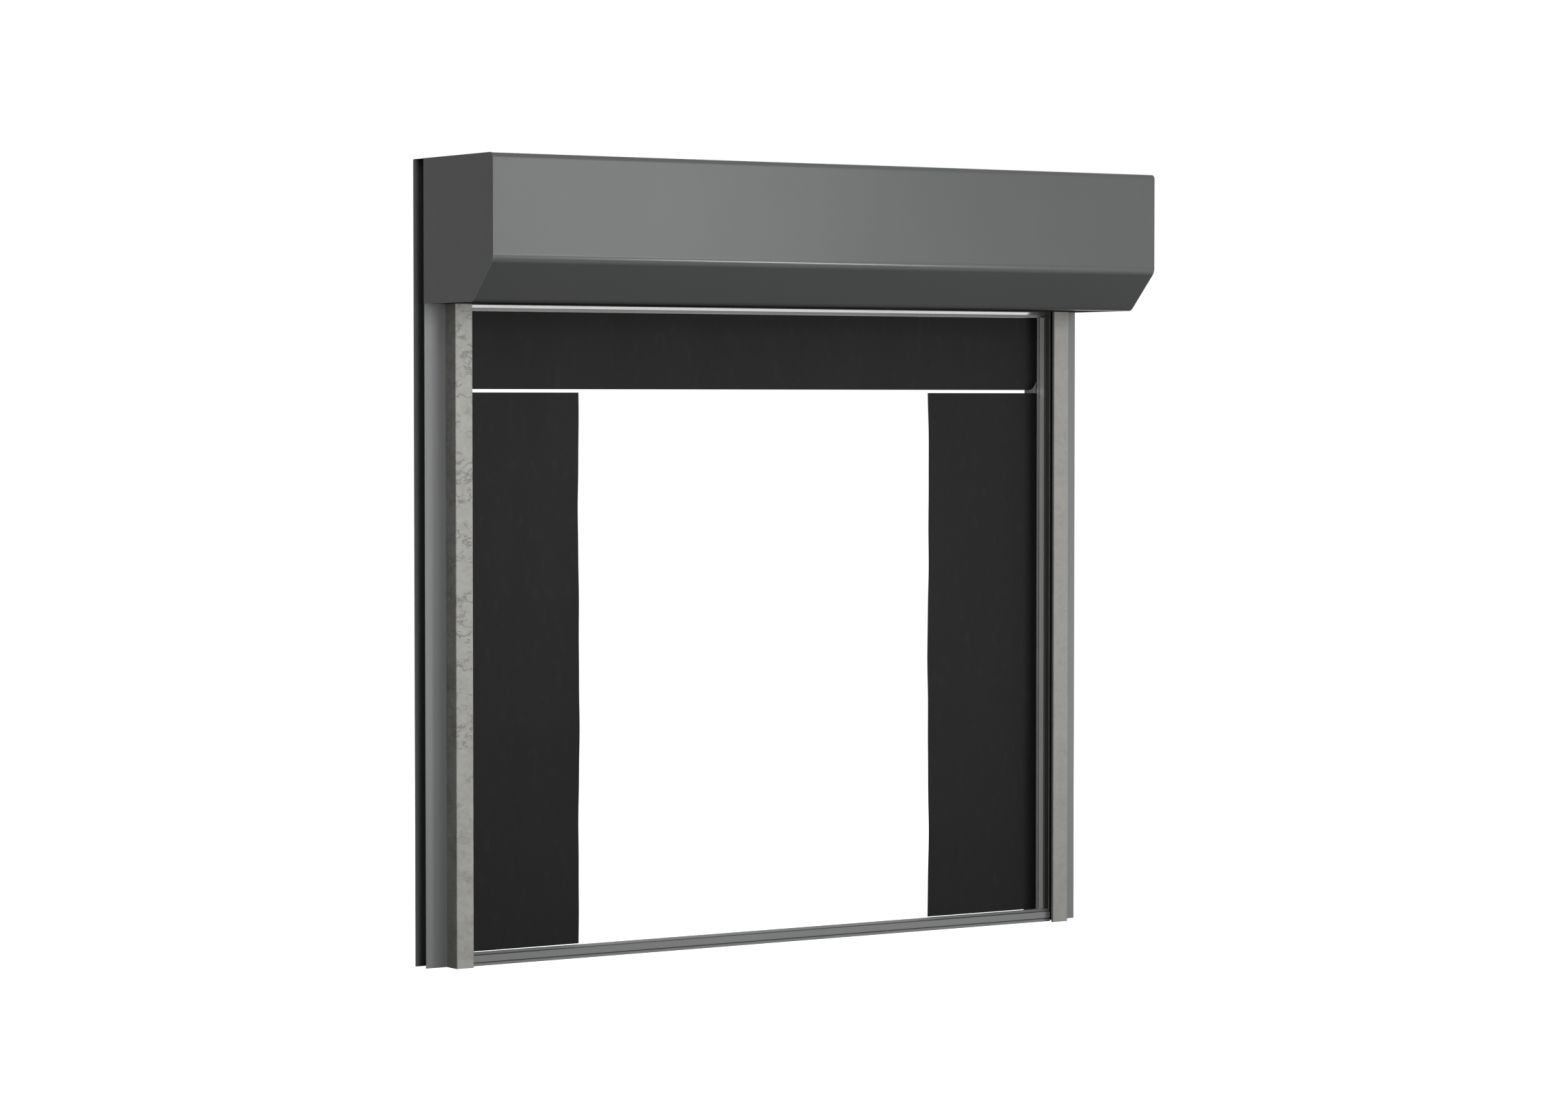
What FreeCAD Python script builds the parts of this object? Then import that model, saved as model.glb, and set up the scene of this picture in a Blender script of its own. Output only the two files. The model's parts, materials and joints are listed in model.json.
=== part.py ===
"""Loading dock shutter: coated wall frame, guides, roller box with a wound slat curtain,
rubber dock flaps and a foot rail. +X is right, +Y goes back into the wall, +Z is up.
The wall plane is Y = 0, the floor is Z = 0 and the middle of the doorway is X = 0."""
import FreeCAD, Part
import math
import os
import re
import Sketcher
from FreeCAD import Matrix, Placement, Rotation, Vector

doc = FreeCAD.newDocument("DockShutter")
along_x = Vector(1, 0, 0)
into_wall = Vector(0, 1, 0)
upward = Vector(0, 0, 1)

# Driving dimensions, in millimetres and degrees
SIZES = {
    "overall_width": 3400,          # across the box end plates
    "post_width": 172.5,            # frame web to the outer edge of the rear flange
    "frame_height": 3396,
    "frame_depth": 90,              # wall plane to the front flange
    "frame_sheet": 3,
    "flange_inset": 3,              # front flange stands inside the end plate
    "wall_hole_radius": 6.5,
    "wall_hole_inset": 75,          # from the outer edge of the rear flange
    "wall_hole_rise": 200,          # lowest and highest hole, from the frame's ends
    "reveal_depth": 65,             # dark strip that lines the wall opening
    "reveal_lap": 24,               # of that strip on the web's inner face
    "header_bottom": 2771.5,
    "box_bottom": 2791,
    "box_rise": 607,
    "box_depth": 587,
    "box_sheet": 2,
    "chamfer_size": 170,
    "lower_bend": 45,
    "upper_bend": 22,
    "end_plate_sheet": 3,
    "end_flange_width": 57,
    "top_seam_setback": 60,
    "seam_strip_width": 50,
    "lower_seam_setback": 60,
    "panel_lap": 25,
    "throat_front": 134,            # front edge of the slot under the box, from the wall
    "guide_face": 82,
    "guide_depth": 86,
    "guide_overhang": 12,           # how far the guide stands inside the web
    "guide_sheet": 3,
    "guide_lip": 14,
    "guide_back_leg": 50,
    "guide_bend": 4,
    "curtain_setback": 110,         # curtain plane, from the wall
    "slat_pitch": 100,
    "slat_thickness": 18,
    "slat_crown": 1.6,
    "slat_wall": 1.2,
    "bead_radius": 4,
    "hook_gap": 0.05,
    "hook_wall": 2.6,
    "neck_width": 3,
    "slat_side_gap": 2.5,
    "runner_wall": 4,
    "runner_depth": 42,
    "runner_gap": 2,
    "inlet_height": 130,
    "inlet_flare": 3,
    "inlet_lead": 40,
    "end_slat_height": 48,
    "end_seal_height": 14,
    "end_seal_width": 22,
    "end_seal_gap": 2,              # seal end to the runner
    "glider_gap": 0.3,
    "glider_length": 30,
    "glider_head": 10,              # glider top under the top of the end slat
    "parking_gap": 7,               # open end slat seal above the box underside
    "barrel_radius": 66.5,
    "barrel_wall": 4,
    "barrel_end_gap": 97,           # tube end to the end plate's inner face
    "disc_thickness": 10,
    "stub_radius": 20,
    "bearing_gap": 0.05,
    "coil_seat_gap": 0.3,
    "strap_width": 40,              # hangers that hold the first slat to the barrel
    "strap_inset": 220,
    "coil_turn_pitch": 28.5,
    "bearing_side": 130,
    "bearing_depth": 44,
    "gearbox_width": 84,
    "gearbox_length": 170,
    "gearbox_rise": 240,
    "motor_radius": 38,
    "motor_length": 190,
    "trim_lip": 24,
    "trim_drip": 4,
    "trim_wall": 2.5,
    "trim_flat": 12.4,
    "trim_nose": 5.5,
    "trim_return": 39.7,
    "rubber_thickness": 3,
    "flap_setback": 30,             # back face of the hanging flaps, from the wall
    "tab_length": 20,
    "clamp_width": 11.5,
    "clamp_thickness": 3,
    "clamp_gap": 1.5,
    "flap_leg": 6.5,                # fixed rubber that stands out from the web
    "flap_gap": 0.3,
    "side_flap_width": 603.7,       # root to free edge
    "side_flap_bottom": 49,
    "flap_split_gap": 14,
    "top_flap_bottom": 2435,
    "top_flap_side_gap": 7,
    "sill_front": 133,              # main face of the foot rail, from the wall
    "sill_face_bottom": 16,
    "sill_face_top": 42,
    "sill_top": 55,
    "sill_slope": 21,
    "sill_groove_bottom": 9,
    "sill_groove_depth": 7,
    "sill_line": 2.5,               # fine groove under the sloping top
    "sill_wall": 3,
    "sill_end_reach": 14,           # rail end past the guide's inner face
    "screw_head_radius": 6,
    "screw_head_height": 3.5,
    "guide_head_height": 1.7,       # flat heads clear the runner
    "screw_shank_radius": 2.5,
    "bolt_head_radius": 10,
    "bolt_head_height": 6.4,
    "bolt_shank_radius": 5,
    "hole_gap": 0.25,
    "fastener_end": 90,             # first and last fastener from the end of its row
}
# Counts, and the hook mouth's angles from straight down, in degrees
COUNTS = {"coil_slats": 30, "wall_holes": 3, "guide_screws": 5, "side_clamp_screws": 5,
          "top_clamp_screws": 5, "box_bolts": 3, "mouth_back": 24, "mouth_front": 82, "hook_sides": 8,
          "straps": 4}

sheet = doc.addObject("Spreadsheet::Sheet", "Dimensions")
for row, (alias, number) in enumerate(SIZES.items(), start=1):
    sheet.set("A%d" % row, alias)
    sheet.set("B%d" % row, str(number))
    sheet.setAlias("B%d" % row, alias)
doc.recompute()

TERM = re.compile(r"([+-]?)\s*([A-Za-z_]\w*|[\d.]+)\s*(?:/\s*([\d.]+))?")


def size(text):
    """Value of a sum of named sizes, such as 'overall_width/2 - frame_sheet'."""
    total = 0.0
    for sign, word, divisor in TERM.findall(text):
        number = sheet.get(word) if word[0].isalpha() else float(word)
        number = float(number) / float(divisor or 1)
        total += -number if sign == "-" else number
    return total


def bind(thing, path, text):
    """Ties a property to a sum of named sizes in the spreadsheet."""
    named = re.sub(r"([A-Za-z_]\w*)", r"Dimensions.\1", text)
    thing.setExpression(path, named)


def less(high, low):
    """The sum high minus the sum low, as text."""
    flipped = low.replace("-", "~").replace("+", "-").replace("~", "+")
    start = "" if flipped.lstrip().startswith("+") else "- "
    return high + " " + start + flipped.lstrip()


def block(label, x, y, z):
    """A bound box between the low and high sums given for each axis."""
    box = doc.addObject("Part::Box", label)
    box.Label = label
    for path, (low, high) in zip(("Length", "Width", "Height"), (x, y, z)):
        bind(box, path, less(high, low))
    for path, (low, high) in zip("xyz", (x, y, z)):
        bind(box, "Placement.Base." + path, low)
    return box


def rod(label, radius, low, high, y, z):
    """A bound cylinder along X between two sums."""
    cylinder = doc.addObject("Part::Cylinder", label)
    cylinder.Label = label
    cylinder.Placement.Rotation = Rotation(Vector(0, 1, 0), 90)
    bind(cylinder, "Radius", radius)
    bind(cylinder, "Height", less(high, low))
    for path, text in zip("xyz", (low, y, z)):
        bind(cylinder, "Placement.Base." + path, text)
    return cylinder


PLANES = {"XY": "XY_Plane", "YZ": "YZ_Plane", "XZ": "XZ_Plane"}


def profile(label, plane, points, low, high, rounds=()):
    """A body padded from a sketched outline of bound points, with bound edge rounds.
    rounds holds (radius sum, [point index, ...]) pairs."""
    body = doc.addObject("PartDesign::Body", label)
    body.Label = label
    origin = [f for f in body.Origin.OriginFeatures if f.Role == PLANES[plane]][0]
    sketch = body.newObject("Sketcher::SketchObject", label + "_outline")
    sketch.AttachmentSupport = [(origin, "")]
    sketch.MapMode = "FlatFace"
    spots = [Vector(size(u), size(v), 0) for u, v in points]
    for index, spot in enumerate(spots):
        sketch.addGeometry(Part.LineSegment(spot, spots[(index + 1) % len(spots)]), False)
    sketch.addConstraint([Sketcher.Constraint("Coincident", i, 2, (i + 1) % len(spots), 1)
                          for i in range(len(spots))])
    for index, (u, v) in enumerate(points):
        for kind, text, value in (("DistanceX", u, spots[index].x), ("DistanceY", v, spots[index].y)):
            made = sketch.addConstraint(Sketcher.Constraint(kind, -1, 1, index, 1, value))
            bind(sketch, "Constraints[%d]" % made, text)
    # the sketch of the XZ plane faces -Y, so it starts at the high end
    start = high if plane == "XZ" else low
    sketch.AttachmentOffset = Placement(Vector(0, 0, -size(start) if plane == "XZ" else size(start)), Rotation())
    bind(sketch, "AttachmentOffset.Base.z", less("0", start) if plane == "XZ" else start)
    pad = body.newObject("PartDesign::Pad", label + "_pad")
    pad.Profile = sketch
    bind(pad, "Length", less(high, low))
    doc.recompute()
    last = pad
    along = {"XY": 2, "YZ": 0, "XZ": 1}[plane]
    for radius, corners in rounds:
        names = []
        for corner in corners:
            names += edges_at(last.Shape, along, spots[corner])
        fillet = body.newObject("PartDesign::Fillet", "%s_round%d" % (label, len(body.Group)))
        fillet.Base = (last, names)
        bind(fillet, "Radius", radius)
        last.Visibility = False
        doc.recompute()
        last = fillet
    return body


def edges_at(shape, along, spot):
    """Names of the straight edges that run along one axis through a profile point."""
    others = [axis for axis in range(3) if axis != along]
    found = []
    for number, edge in enumerate(shape.Edges, start=1):
        ends = [vertex.Point for vertex in edge.Vertexes]
        if len(ends) != 2 or abs((ends[1] - ends[0]).Length - abs(ends[1][along] - ends[0][along])) > 1e-6:
            continue
        if all(abs(ends[0][axis] - spot[place]) < 1e-4 for place, axis in enumerate(others)):
            found.append("Edge%d" % number)
    return found


def mirrored(source, label):
    """The left-hand copy of a right-hand piece."""
    copy = doc.addObject("Part::Mirroring", label)
    copy.Label = label
    copy.Source = source
    copy.Normal = (1, 0, 0)
    copy.Base = (0, 0, 0)
    return copy


def cut(label, base, tool):
    """base with tool taken out."""
    made = doc.addObject("Part::Cut", label)
    made.Label = label
    made.Base = base
    made.Tool = tool
    return made


def joined(label, pieces):
    """Pieces welded into one."""
    made = doc.addObject("Part::MultiFuse", label)
    made.Label = label
    made.Shapes = pieces
    made.Refine = True
    return made


def shared(label, pieces):
    """What two pieces have in common."""
    made = doc.addObject("Part::MultiCommon", label)
    made.Label = label
    made.Shapes = pieces
    return made


def formed(label, shape):
    """A piece whose shape comes from a formula."""
    made = doc.addObject("Part::Feature", label)
    made.Label = label
    made.Shape = shape
    return made


def spaced(count, low, high):
    """Even places from low to high, both included."""
    return [low + (high - low) * step / (count - 1) for step in range(count)]


def hexagon(radius, place, direction, length):
    """A six-sided rod from a place along a direction; the radius is that of its flats."""
    side = direction.cross(upward if abs(direction.z) < 0.5 else along_x)
    other = direction.cross(side)
    reach = radius / math.cos(math.pi / 6)
    corners = [place + side * reach * math.cos(math.radians(turn)) + other * reach * math.sin(math.radians(turn))
               for turn in range(0, 360, 60)]
    return Part.Face(Part.makePolygon(corners + corners[:1])).extrude(direction * length)


def fasteners(label, places, direction, head_radius, head_height, shank_radius, shank_length):
    """Hexagon fasteners: each head seats at its place and its shank runs along direction."""
    solids = []
    for place in places:
        head = hexagon(head_radius, place - direction * head_height, direction, head_height)
        shank = hexagon(shank_radius, place, direction, shank_length)
        solids.append(head.fuse(shank).removeSplitter())
    return formed(label, Part.makeCompound(solids))


def drills(label, places, direction, radius, reach):
    """Cutters for the fasteners' holes, with flats to suit."""
    return formed(label, Part.makeCompound(
        [hexagon(radius, place - direction * reach, direction, 2 * reach) for place in places]))


# Sums used by more than one piece
WEB = "overall_width/2 - post_width"
FRONT = "0 - frame_depth"
BOX_TOP = "box_bottom + box_rise"
BOX_FRONT = "0 - frame_depth - box_depth"
PLATE = "overall_width/2 - end_plate_sheet"
GUIDE_IN = WEB + " - guide_overhang"
GUIDE_OUT = GUIDE_IN + " + guide_face"
GUIDE_FRONT = "0 - frame_depth - guide_depth"
RUN_OUT = GUIDE_OUT + " - guide_sheet"
RUN_IN = RUN_OUT + " - runner_depth"
RUN_BASE = RUN_OUT + " - runner_wall"
MIDDLE = "0 - curtain_setback"
SLOT_BACK = MIDDLE + " + slat_thickness/2 + runner_gap"
SLOT_FRONT = MIDDLE + " - slat_thickness/2 - runner_gap"
TRIM_IN = WEB + " - trim_wall - trim_drip"
TRIM_OUT = TRIM_IN + " + trim_lip"
TRIM_LOW = "header_bottom - trim_wall - trim_drip"
TRIM_HIGH = TRIM_LOW + " + trim_lip"
LIP_FRONT = "0 - frame_depth - trim_wall"
NOSE_FRONT = LIP_FRONT + " - trim_nose"
RETURN_END = "0 - frame_depth + trim_return"
FLAP_BACK = "0 - flap_setback"
FLAP_FRONT = "0 - flap_setback - rubber_thickness"
TAB_FRONT = FLAP_BACK + " - tab_length"
CLAMP_BACK = FLAP_FRONT + " - clamp_gap"
CLAMP_FRONT = CLAMP_BACK + " - clamp_width"
FLAP_ROOT = WEB + " - flap_leg - flap_gap"
SIDE_FLAP_EDGE = FLAP_ROOT + " - side_flap_width"
SIDE_FLAP_TOP = "top_flap_bottom - flap_split_gap"
SEAM_Y = BOX_FRONT + " + chamfer_size + lower_seam_setback"
AXIS_Z = ("box_bottom + parking_gap + end_seal_height + end_slat_height"
          " + slat_pitch + slat_pitch + slat_pitch")


def make_side_frames():
    """Coated side frames: front flange, web and rear flange, open outwards."""
    section = [
        (WEB, FRONT),
        ("overall_width/2 - flange_inset", FRONT),
        ("overall_width/2 - flange_inset", FRONT + " + frame_sheet"),
        (WEB + " + frame_sheet", FRONT + " + frame_sheet"),
        (WEB + " + frame_sheet", "0 - frame_sheet"),
        ("overall_width/2", "0 - frame_sheet"),
        ("overall_width/2", "0"),
        (WEB, "0"),
    ]
    blank = profile("right_frame_blank", "XY", section, "0", "frame_height")
    hole_x = size("overall_width/2 - wall_hole_inset")
    holes = [Vector(hole_x, 0, z) for z in
             spaced(COUNTS["wall_holes"], size("wall_hole_rise"), size("frame_height - wall_hole_rise"))]
    tools = doc.addObject("Part::Compound", "frame_drills")
    wall_drill = formed("wall_drill", Part.makeCompound(
        [Part.makeCylinder(size("wall_hole_radius"), size("frame_depth/2"), hole - into_wall * size("frame_depth/4"),
                           into_wall) for hole in holes]))
    tools.Links = [wall_drill, guide_drill, bolt_drill, side_clamp_drill]
    right = cut("right_side_frame", blank, tools)
    reveal = block("right_reveal", (WEB + " - frame_sheet", WEB), ("0 - reveal_lap", "reveal_depth"),
                   ("0", "header_bottom"))
    return [right, mirrored(right, "left_side_frame"), reveal, mirrored(reveal, "left_reveal")]


def make_header():
    """Sheet header between the webs, open towards the wall."""
    section = [
        (FRONT, "header_bottom"),
        ("0", "header_bottom"),
        ("0", "header_bottom + frame_sheet"),
        (FRONT + " + frame_sheet", "header_bottom + frame_sheet"),
        (FRONT + " + frame_sheet", "frame_height - frame_sheet"),
        ("0", "frame_height - frame_sheet"),
        ("0", "frame_height"),
        (FRONT, "frame_height"),
    ]
    blank = profile("header_blank", "YZ", section, less("0", WEB), WEB)
    return [cut("header_panel", blank, top_clamp_drill)]


def make_guides():
    """Folded guide channels with their slots towards the doorway."""
    leg = GUIDE_OUT + " - guide_back_leg"
    section = [
        (GUIDE_IN, GUIDE_FRONT),
        (GUIDE_OUT, GUIDE_FRONT),
        (GUIDE_OUT, FRONT),
        (leg, FRONT),
        (leg, FRONT + " - guide_sheet"),
        (GUIDE_OUT + " - guide_sheet", FRONT + " - guide_sheet"),
        (GUIDE_OUT + " - guide_sheet", GUIDE_FRONT + " + guide_sheet"),
        (GUIDE_IN + " + guide_sheet", GUIDE_FRONT + " + guide_sheet"),
        (GUIDE_IN + " + guide_sheet", GUIDE_FRONT + " + guide_lip"),
        (GUIDE_IN, GUIDE_FRONT + " + guide_lip"),
    ]
    blank = profile("right_guide_blank", "XY", section, "0", "box_bottom", [("guide_bend", [0, 1])])
    right = cut("right_guide", blank, guide_drill)
    return [right, mirrored(right, "left_guide")]


def runner_section():
    """A channel round the slat ends, open towards the doorway."""
    return [
        (RUN_IN, SLOT_FRONT + " - runner_wall"),
        (RUN_OUT, SLOT_FRONT + " - runner_wall"),
        (RUN_OUT, SLOT_BACK + " + runner_wall"),
        (RUN_IN, SLOT_BACK + " + runner_wall"),
        (RUN_IN, SLOT_BACK),
        (RUN_BASE, SLOT_BACK),
        (RUN_BASE, SLOT_FRONT),
        (RUN_IN, SLOT_FRONT),
    ]


def make_runners():
    """Low-friction runners in the guides and the inlets that stand on them inside the box."""
    runner = profile("right_runner", "XY", runner_section(), "0", "box_bottom")
    inlet_top = "box_bottom + inlet_height"
    inlet_blank = profile("right_inlet_blank", "XY", runner_section(), "box_bottom", inlet_top)
    funnel = profile("right_inlet_funnel", "YZ", [
        (SLOT_FRONT, inlet_top + " - inlet_lead"),
        (SLOT_BACK, inlet_top + " - inlet_lead"),
        (SLOT_BACK + " + inlet_flare", inlet_top),
        (SLOT_FRONT + " - inlet_flare", inlet_top),
    ], RUN_IN, RUN_BASE)
    inlet = cut("right_inlet", inlet_blank, funnel)
    return [runner, mirrored(runner, "left_runner"), inlet, mirrored(inlet, "left_inlet")]


def make_trims():
    """Bright trim round the doorway: a flat, a sloping nose and a return, mitred at both corners."""
    side_section = [
        (TRIM_IN, LIP_FRONT),
        (TRIM_IN + " + trim_flat", LIP_FRONT),
        (TRIM_OUT, NOSE_FRONT),
        (TRIM_OUT, FRONT),
        (WEB, FRONT),
        (WEB, RETURN_END),
        (WEB + " - trim_wall", RETURN_END),
        (WEB + " - trim_wall", FRONT),
        (TRIM_IN, FRONT),
    ]
    top_section = [
        (LIP_FRONT, TRIM_LOW),
        (LIP_FRONT, TRIM_LOW + " + trim_flat"),
        (NOSE_FRONT, TRIM_HIGH),
        (FRONT, TRIM_HIGH),
        (FRONT, "header_bottom"),
        (RETURN_END, "header_bottom"),
        (RETURN_END, "header_bottom - trim_wall"),
        (FRONT, "header_bottom - trim_wall"),
        (FRONT, TRIM_LOW),
    ]
    side_bar = profile("right_trim_bar", "XY", side_section, "0", TRIM_HIGH)
    side_mitre = profile("right_trim_mitre", "XZ", [
        (TRIM_IN, "0"), (TRIM_OUT, "0"), (TRIM_OUT, TRIM_HIGH), (TRIM_IN, TRIM_LOW),
    ], NOSE_FRONT, RETURN_END)
    right = shared("right_trim", [side_bar, side_mitre])
    top_bar = profile("top_trim_bar", "YZ", top_section, less("0", TRIM_OUT), TRIM_OUT)
    top_mitre = profile("top_trim_mitre", "XZ", [
        (less("0", TRIM_IN), TRIM_LOW), (TRIM_IN, TRIM_LOW), (TRIM_OUT, TRIM_HIGH),
        (less("0", TRIM_OUT), TRIM_HIGH),
    ], NOSE_FRONT, RETURN_END)
    return [right, mirrored(right, "left_trim"), shared("top_trim", [top_bar, top_mitre])]


def make_flap_fixings():
    """Rubber edges folded round the inside of the frame, their clamp bars and screws."""
    leg_in = WEB + " - flap_leg"
    side_top = "header_bottom - flap_leg - flap_gap"
    side_edge = profile("right_edge_blank", "XY", [
        (WEB, TAB_FRONT), (WEB, FLAP_BACK), (leg_in, FLAP_BACK), (leg_in, FLAP_FRONT),
        (WEB + " - rubber_thickness", FLAP_FRONT), (WEB + " - rubber_thickness", TAB_FRONT),
    ], "side_flap_bottom", side_top)
    edge = cut("right_flap_edge", side_edge, side_clamp_drill)
    bar_in = WEB + " - rubber_thickness - clamp_thickness"
    side_bar = block("right_clamp_blank", (bar_in, WEB + " - rubber_thickness"),
                     (CLAMP_FRONT, CLAMP_BACK), ("side_flap_bottom", side_top))
    bar = cut("right_clamp_bar", side_bar, side_clamp_drill)
    low = "header_bottom - flap_leg"
    top_blank = profile("top_edge_blank", "YZ", [
        (TAB_FRONT, "header_bottom"), (FLAP_BACK, "header_bottom"), (FLAP_BACK, low), (FLAP_FRONT, low),
        (FLAP_FRONT, "header_bottom - rubber_thickness"), (TAB_FRONT, "header_bottom - rubber_thickness"),
    ], less("0", WEB), WEB)
    top_edge = cut("top_flap_edge", top_blank, top_clamp_drill)
    top_bar = block("top_clamp_blank", (less("0", WEB), WEB), (CLAMP_FRONT, CLAMP_BACK),
                    ("header_bottom - rubber_thickness - clamp_thickness", "header_bottom - rubber_thickness"))
    top_clamp = cut("top_clamp_bar", top_bar, top_clamp_drill)
    grip = size("frame_sheet + rubber_thickness + clamp_thickness - hole_gap")
    heads = [size("screw_head_radius"), size("screw_head_height"), size("screw_shank_radius"), grip]
    right_screws = fasteners("right_clamp_screws", side_clamp_places, along_x * -1, *heads)
    top_screws = fasteners("top_clamp_screws", top_clamp_places, upward * -1, *heads)
    return [edge, mirrored(edge, "left_flap_edge"), bar, mirrored(bar, "left_clamp_bar"), top_edge,
            top_clamp, right_screws, mirrored(right_screws, "left_clamp_screws"), top_screws]


def make_flaps():
    """Hanging rubber flaps; each root edge is round about its own bending line."""
    side = profile("right_flap", "XY", [
        (SIDE_FLAP_EDGE, FLAP_FRONT), (FLAP_ROOT, FLAP_FRONT), (FLAP_ROOT, FLAP_BACK),
        (SIDE_FLAP_EDGE, FLAP_BACK),
    ], "side_flap_bottom", SIDE_FLAP_TOP, [("rubber_thickness/2.02", [1, 2])])
    top = profile("top_flap", "YZ", [
        (FLAP_FRONT, "top_flap_bottom"), (FLAP_BACK, "top_flap_bottom"),
        (FLAP_BACK, "header_bottom - flap_leg - flap_gap"), (FLAP_FRONT, "header_bottom - flap_leg - flap_gap"),
    ], less("top_flap_side_gap", WEB), WEB + " - top_flap_side_gap", [("rubber_thickness/2.02", [2, 3])])
    return [side, mirrored(side, "left_flap"), top]


def make_box():
    """Roller box: folded front cover, top cover, service panel and end plates."""
    chamfer_y = BOX_FRONT + " + chamfer_size"
    chamfer_z = "box_bottom + chamfer_size"
    inner = " + box_sheet/2.4142"
    top_seam = BOX_FRONT + " + top_seam_setback"
    sheet_top = BOX_TOP + " - box_sheet"
    front_cover = profile("front_cover", "YZ", [
        (SEAM_Y, "box_bottom"), (chamfer_y, "box_bottom"), (BOX_FRONT, chamfer_z), (BOX_FRONT, BOX_TOP),
        (top_seam, BOX_TOP), (top_seam, sheet_top), (BOX_FRONT + " + box_sheet", sheet_top),
        (BOX_FRONT + " + box_sheet", chamfer_z + inner), (chamfer_y + inner, "box_bottom + box_sheet"),
        (SEAM_Y, "box_bottom + box_sheet"),
    ], less("0", PLATE), PLATE, [
        ("lower_bend", [1, 2]), ("lower_bend - box_sheet", [7, 8]),
        ("upper_bend", [3]), ("upper_bend - box_sheet", [6]),
    ])
    top_cover = block("top_cover", (less("0", PLATE), PLATE), (top_seam, "0"), (sheet_top, BOX_TOP))
    strip = block("top_seam_strip", (less("0", PLATE), PLATE),
                  (top_seam + " - seam_strip_width/2", top_seam + " + seam_strip_width/2"),
                  (sheet_top + " - box_sheet", sheet_top))
    throat = "0 - throat_front"
    service = profile("service_panel", "YZ", [
        (SEAM_Y, "box_bottom"), (throat, "box_bottom"), (throat, "box_bottom + panel_lap"),
        (throat + " - box_sheet", "box_bottom + panel_lap"), (throat + " - box_sheet", "box_bottom + box_sheet"),
        (SEAM_Y + " + box_sheet", "box_bottom + box_sheet"),
        (SEAM_Y + " + box_sheet", "box_bottom + box_sheet + box_sheet"),
        (SEAM_Y + " - panel_lap", "box_bottom + box_sheet + box_sheet"),
        (SEAM_Y + " - panel_lap", "box_bottom + box_sheet"), (SEAM_Y, "box_bottom + box_sheet"),
    ], less("0", PLATE), PLATE)
    plate = profile("right_plate_face", "YZ", [
        (FRONT, "box_bottom"), (chamfer_y, "box_bottom"), (BOX_FRONT, chamfer_z), (BOX_FRONT, BOX_TOP),
        (FRONT, BOX_TOP),
    ], PLATE, "overall_width/2", [("lower_bend", [1, 2]), ("upper_bend", [3])])
    flange = block("right_plate_flange", (PLATE + " - end_flange_width", PLATE),
                   (FRONT + " - end_plate_sheet", FRONT), ("box_bottom + panel_lap", sheet_top))
    welded = joined("right_plate_blank", [plate, flange])
    end_plate = cut("right_end_plate", welded, bolt_drill)
    bolts = fasteners("right_box_bolts", bolt_places, into_wall, size("bolt_head_radius"),
                      size("bolt_head_height"), size("bolt_shank_radius"),
                      size("end_plate_sheet + frame_sheet + bolt_head_height"))
    return [front_cover, top_cover, strip, service, end_plate, mirrored(end_plate, "left_end_plate"),
            bolts, mirrored(bolts, "left_box_bolts")]


def make_sill():
    """Foot rail between the guides: lip, groove, main face, sloping top."""
    core = "sill_groove_depth + sill_wall - sill_front"
    face = "0 - sill_front"
    rail = profile("sill_rail", "YZ", [
        (face, "0"), (face, "sill_groove_bottom"),
        (face + " + sill_groove_depth", "sill_groove_bottom"), (face + " + sill_groove_depth", "sill_face_bottom"),
        (face, "sill_face_bottom"), (face, "sill_face_top"),
        (face + " + sill_line", "sill_face_top"), (face + " + sill_line", "sill_face_top + sill_line"),
        (face + " + sill_slope", "sill_top"), (LIP_FRONT, "sill_top"), (LIP_FRONT, "0"),
        (LIP_FRONT + " - sill_wall", "0"), (LIP_FRONT + " - sill_wall", "sill_top - sill_wall"),
        (face + " + sill_slope", "sill_top - sill_wall"), (core, "sill_face_top"), (core, "0"),
    ], less("0", GUIDE_IN + " + sill_end_reach"), GUIDE_IN + " + sill_end_reach")
    return [rail]


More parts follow.
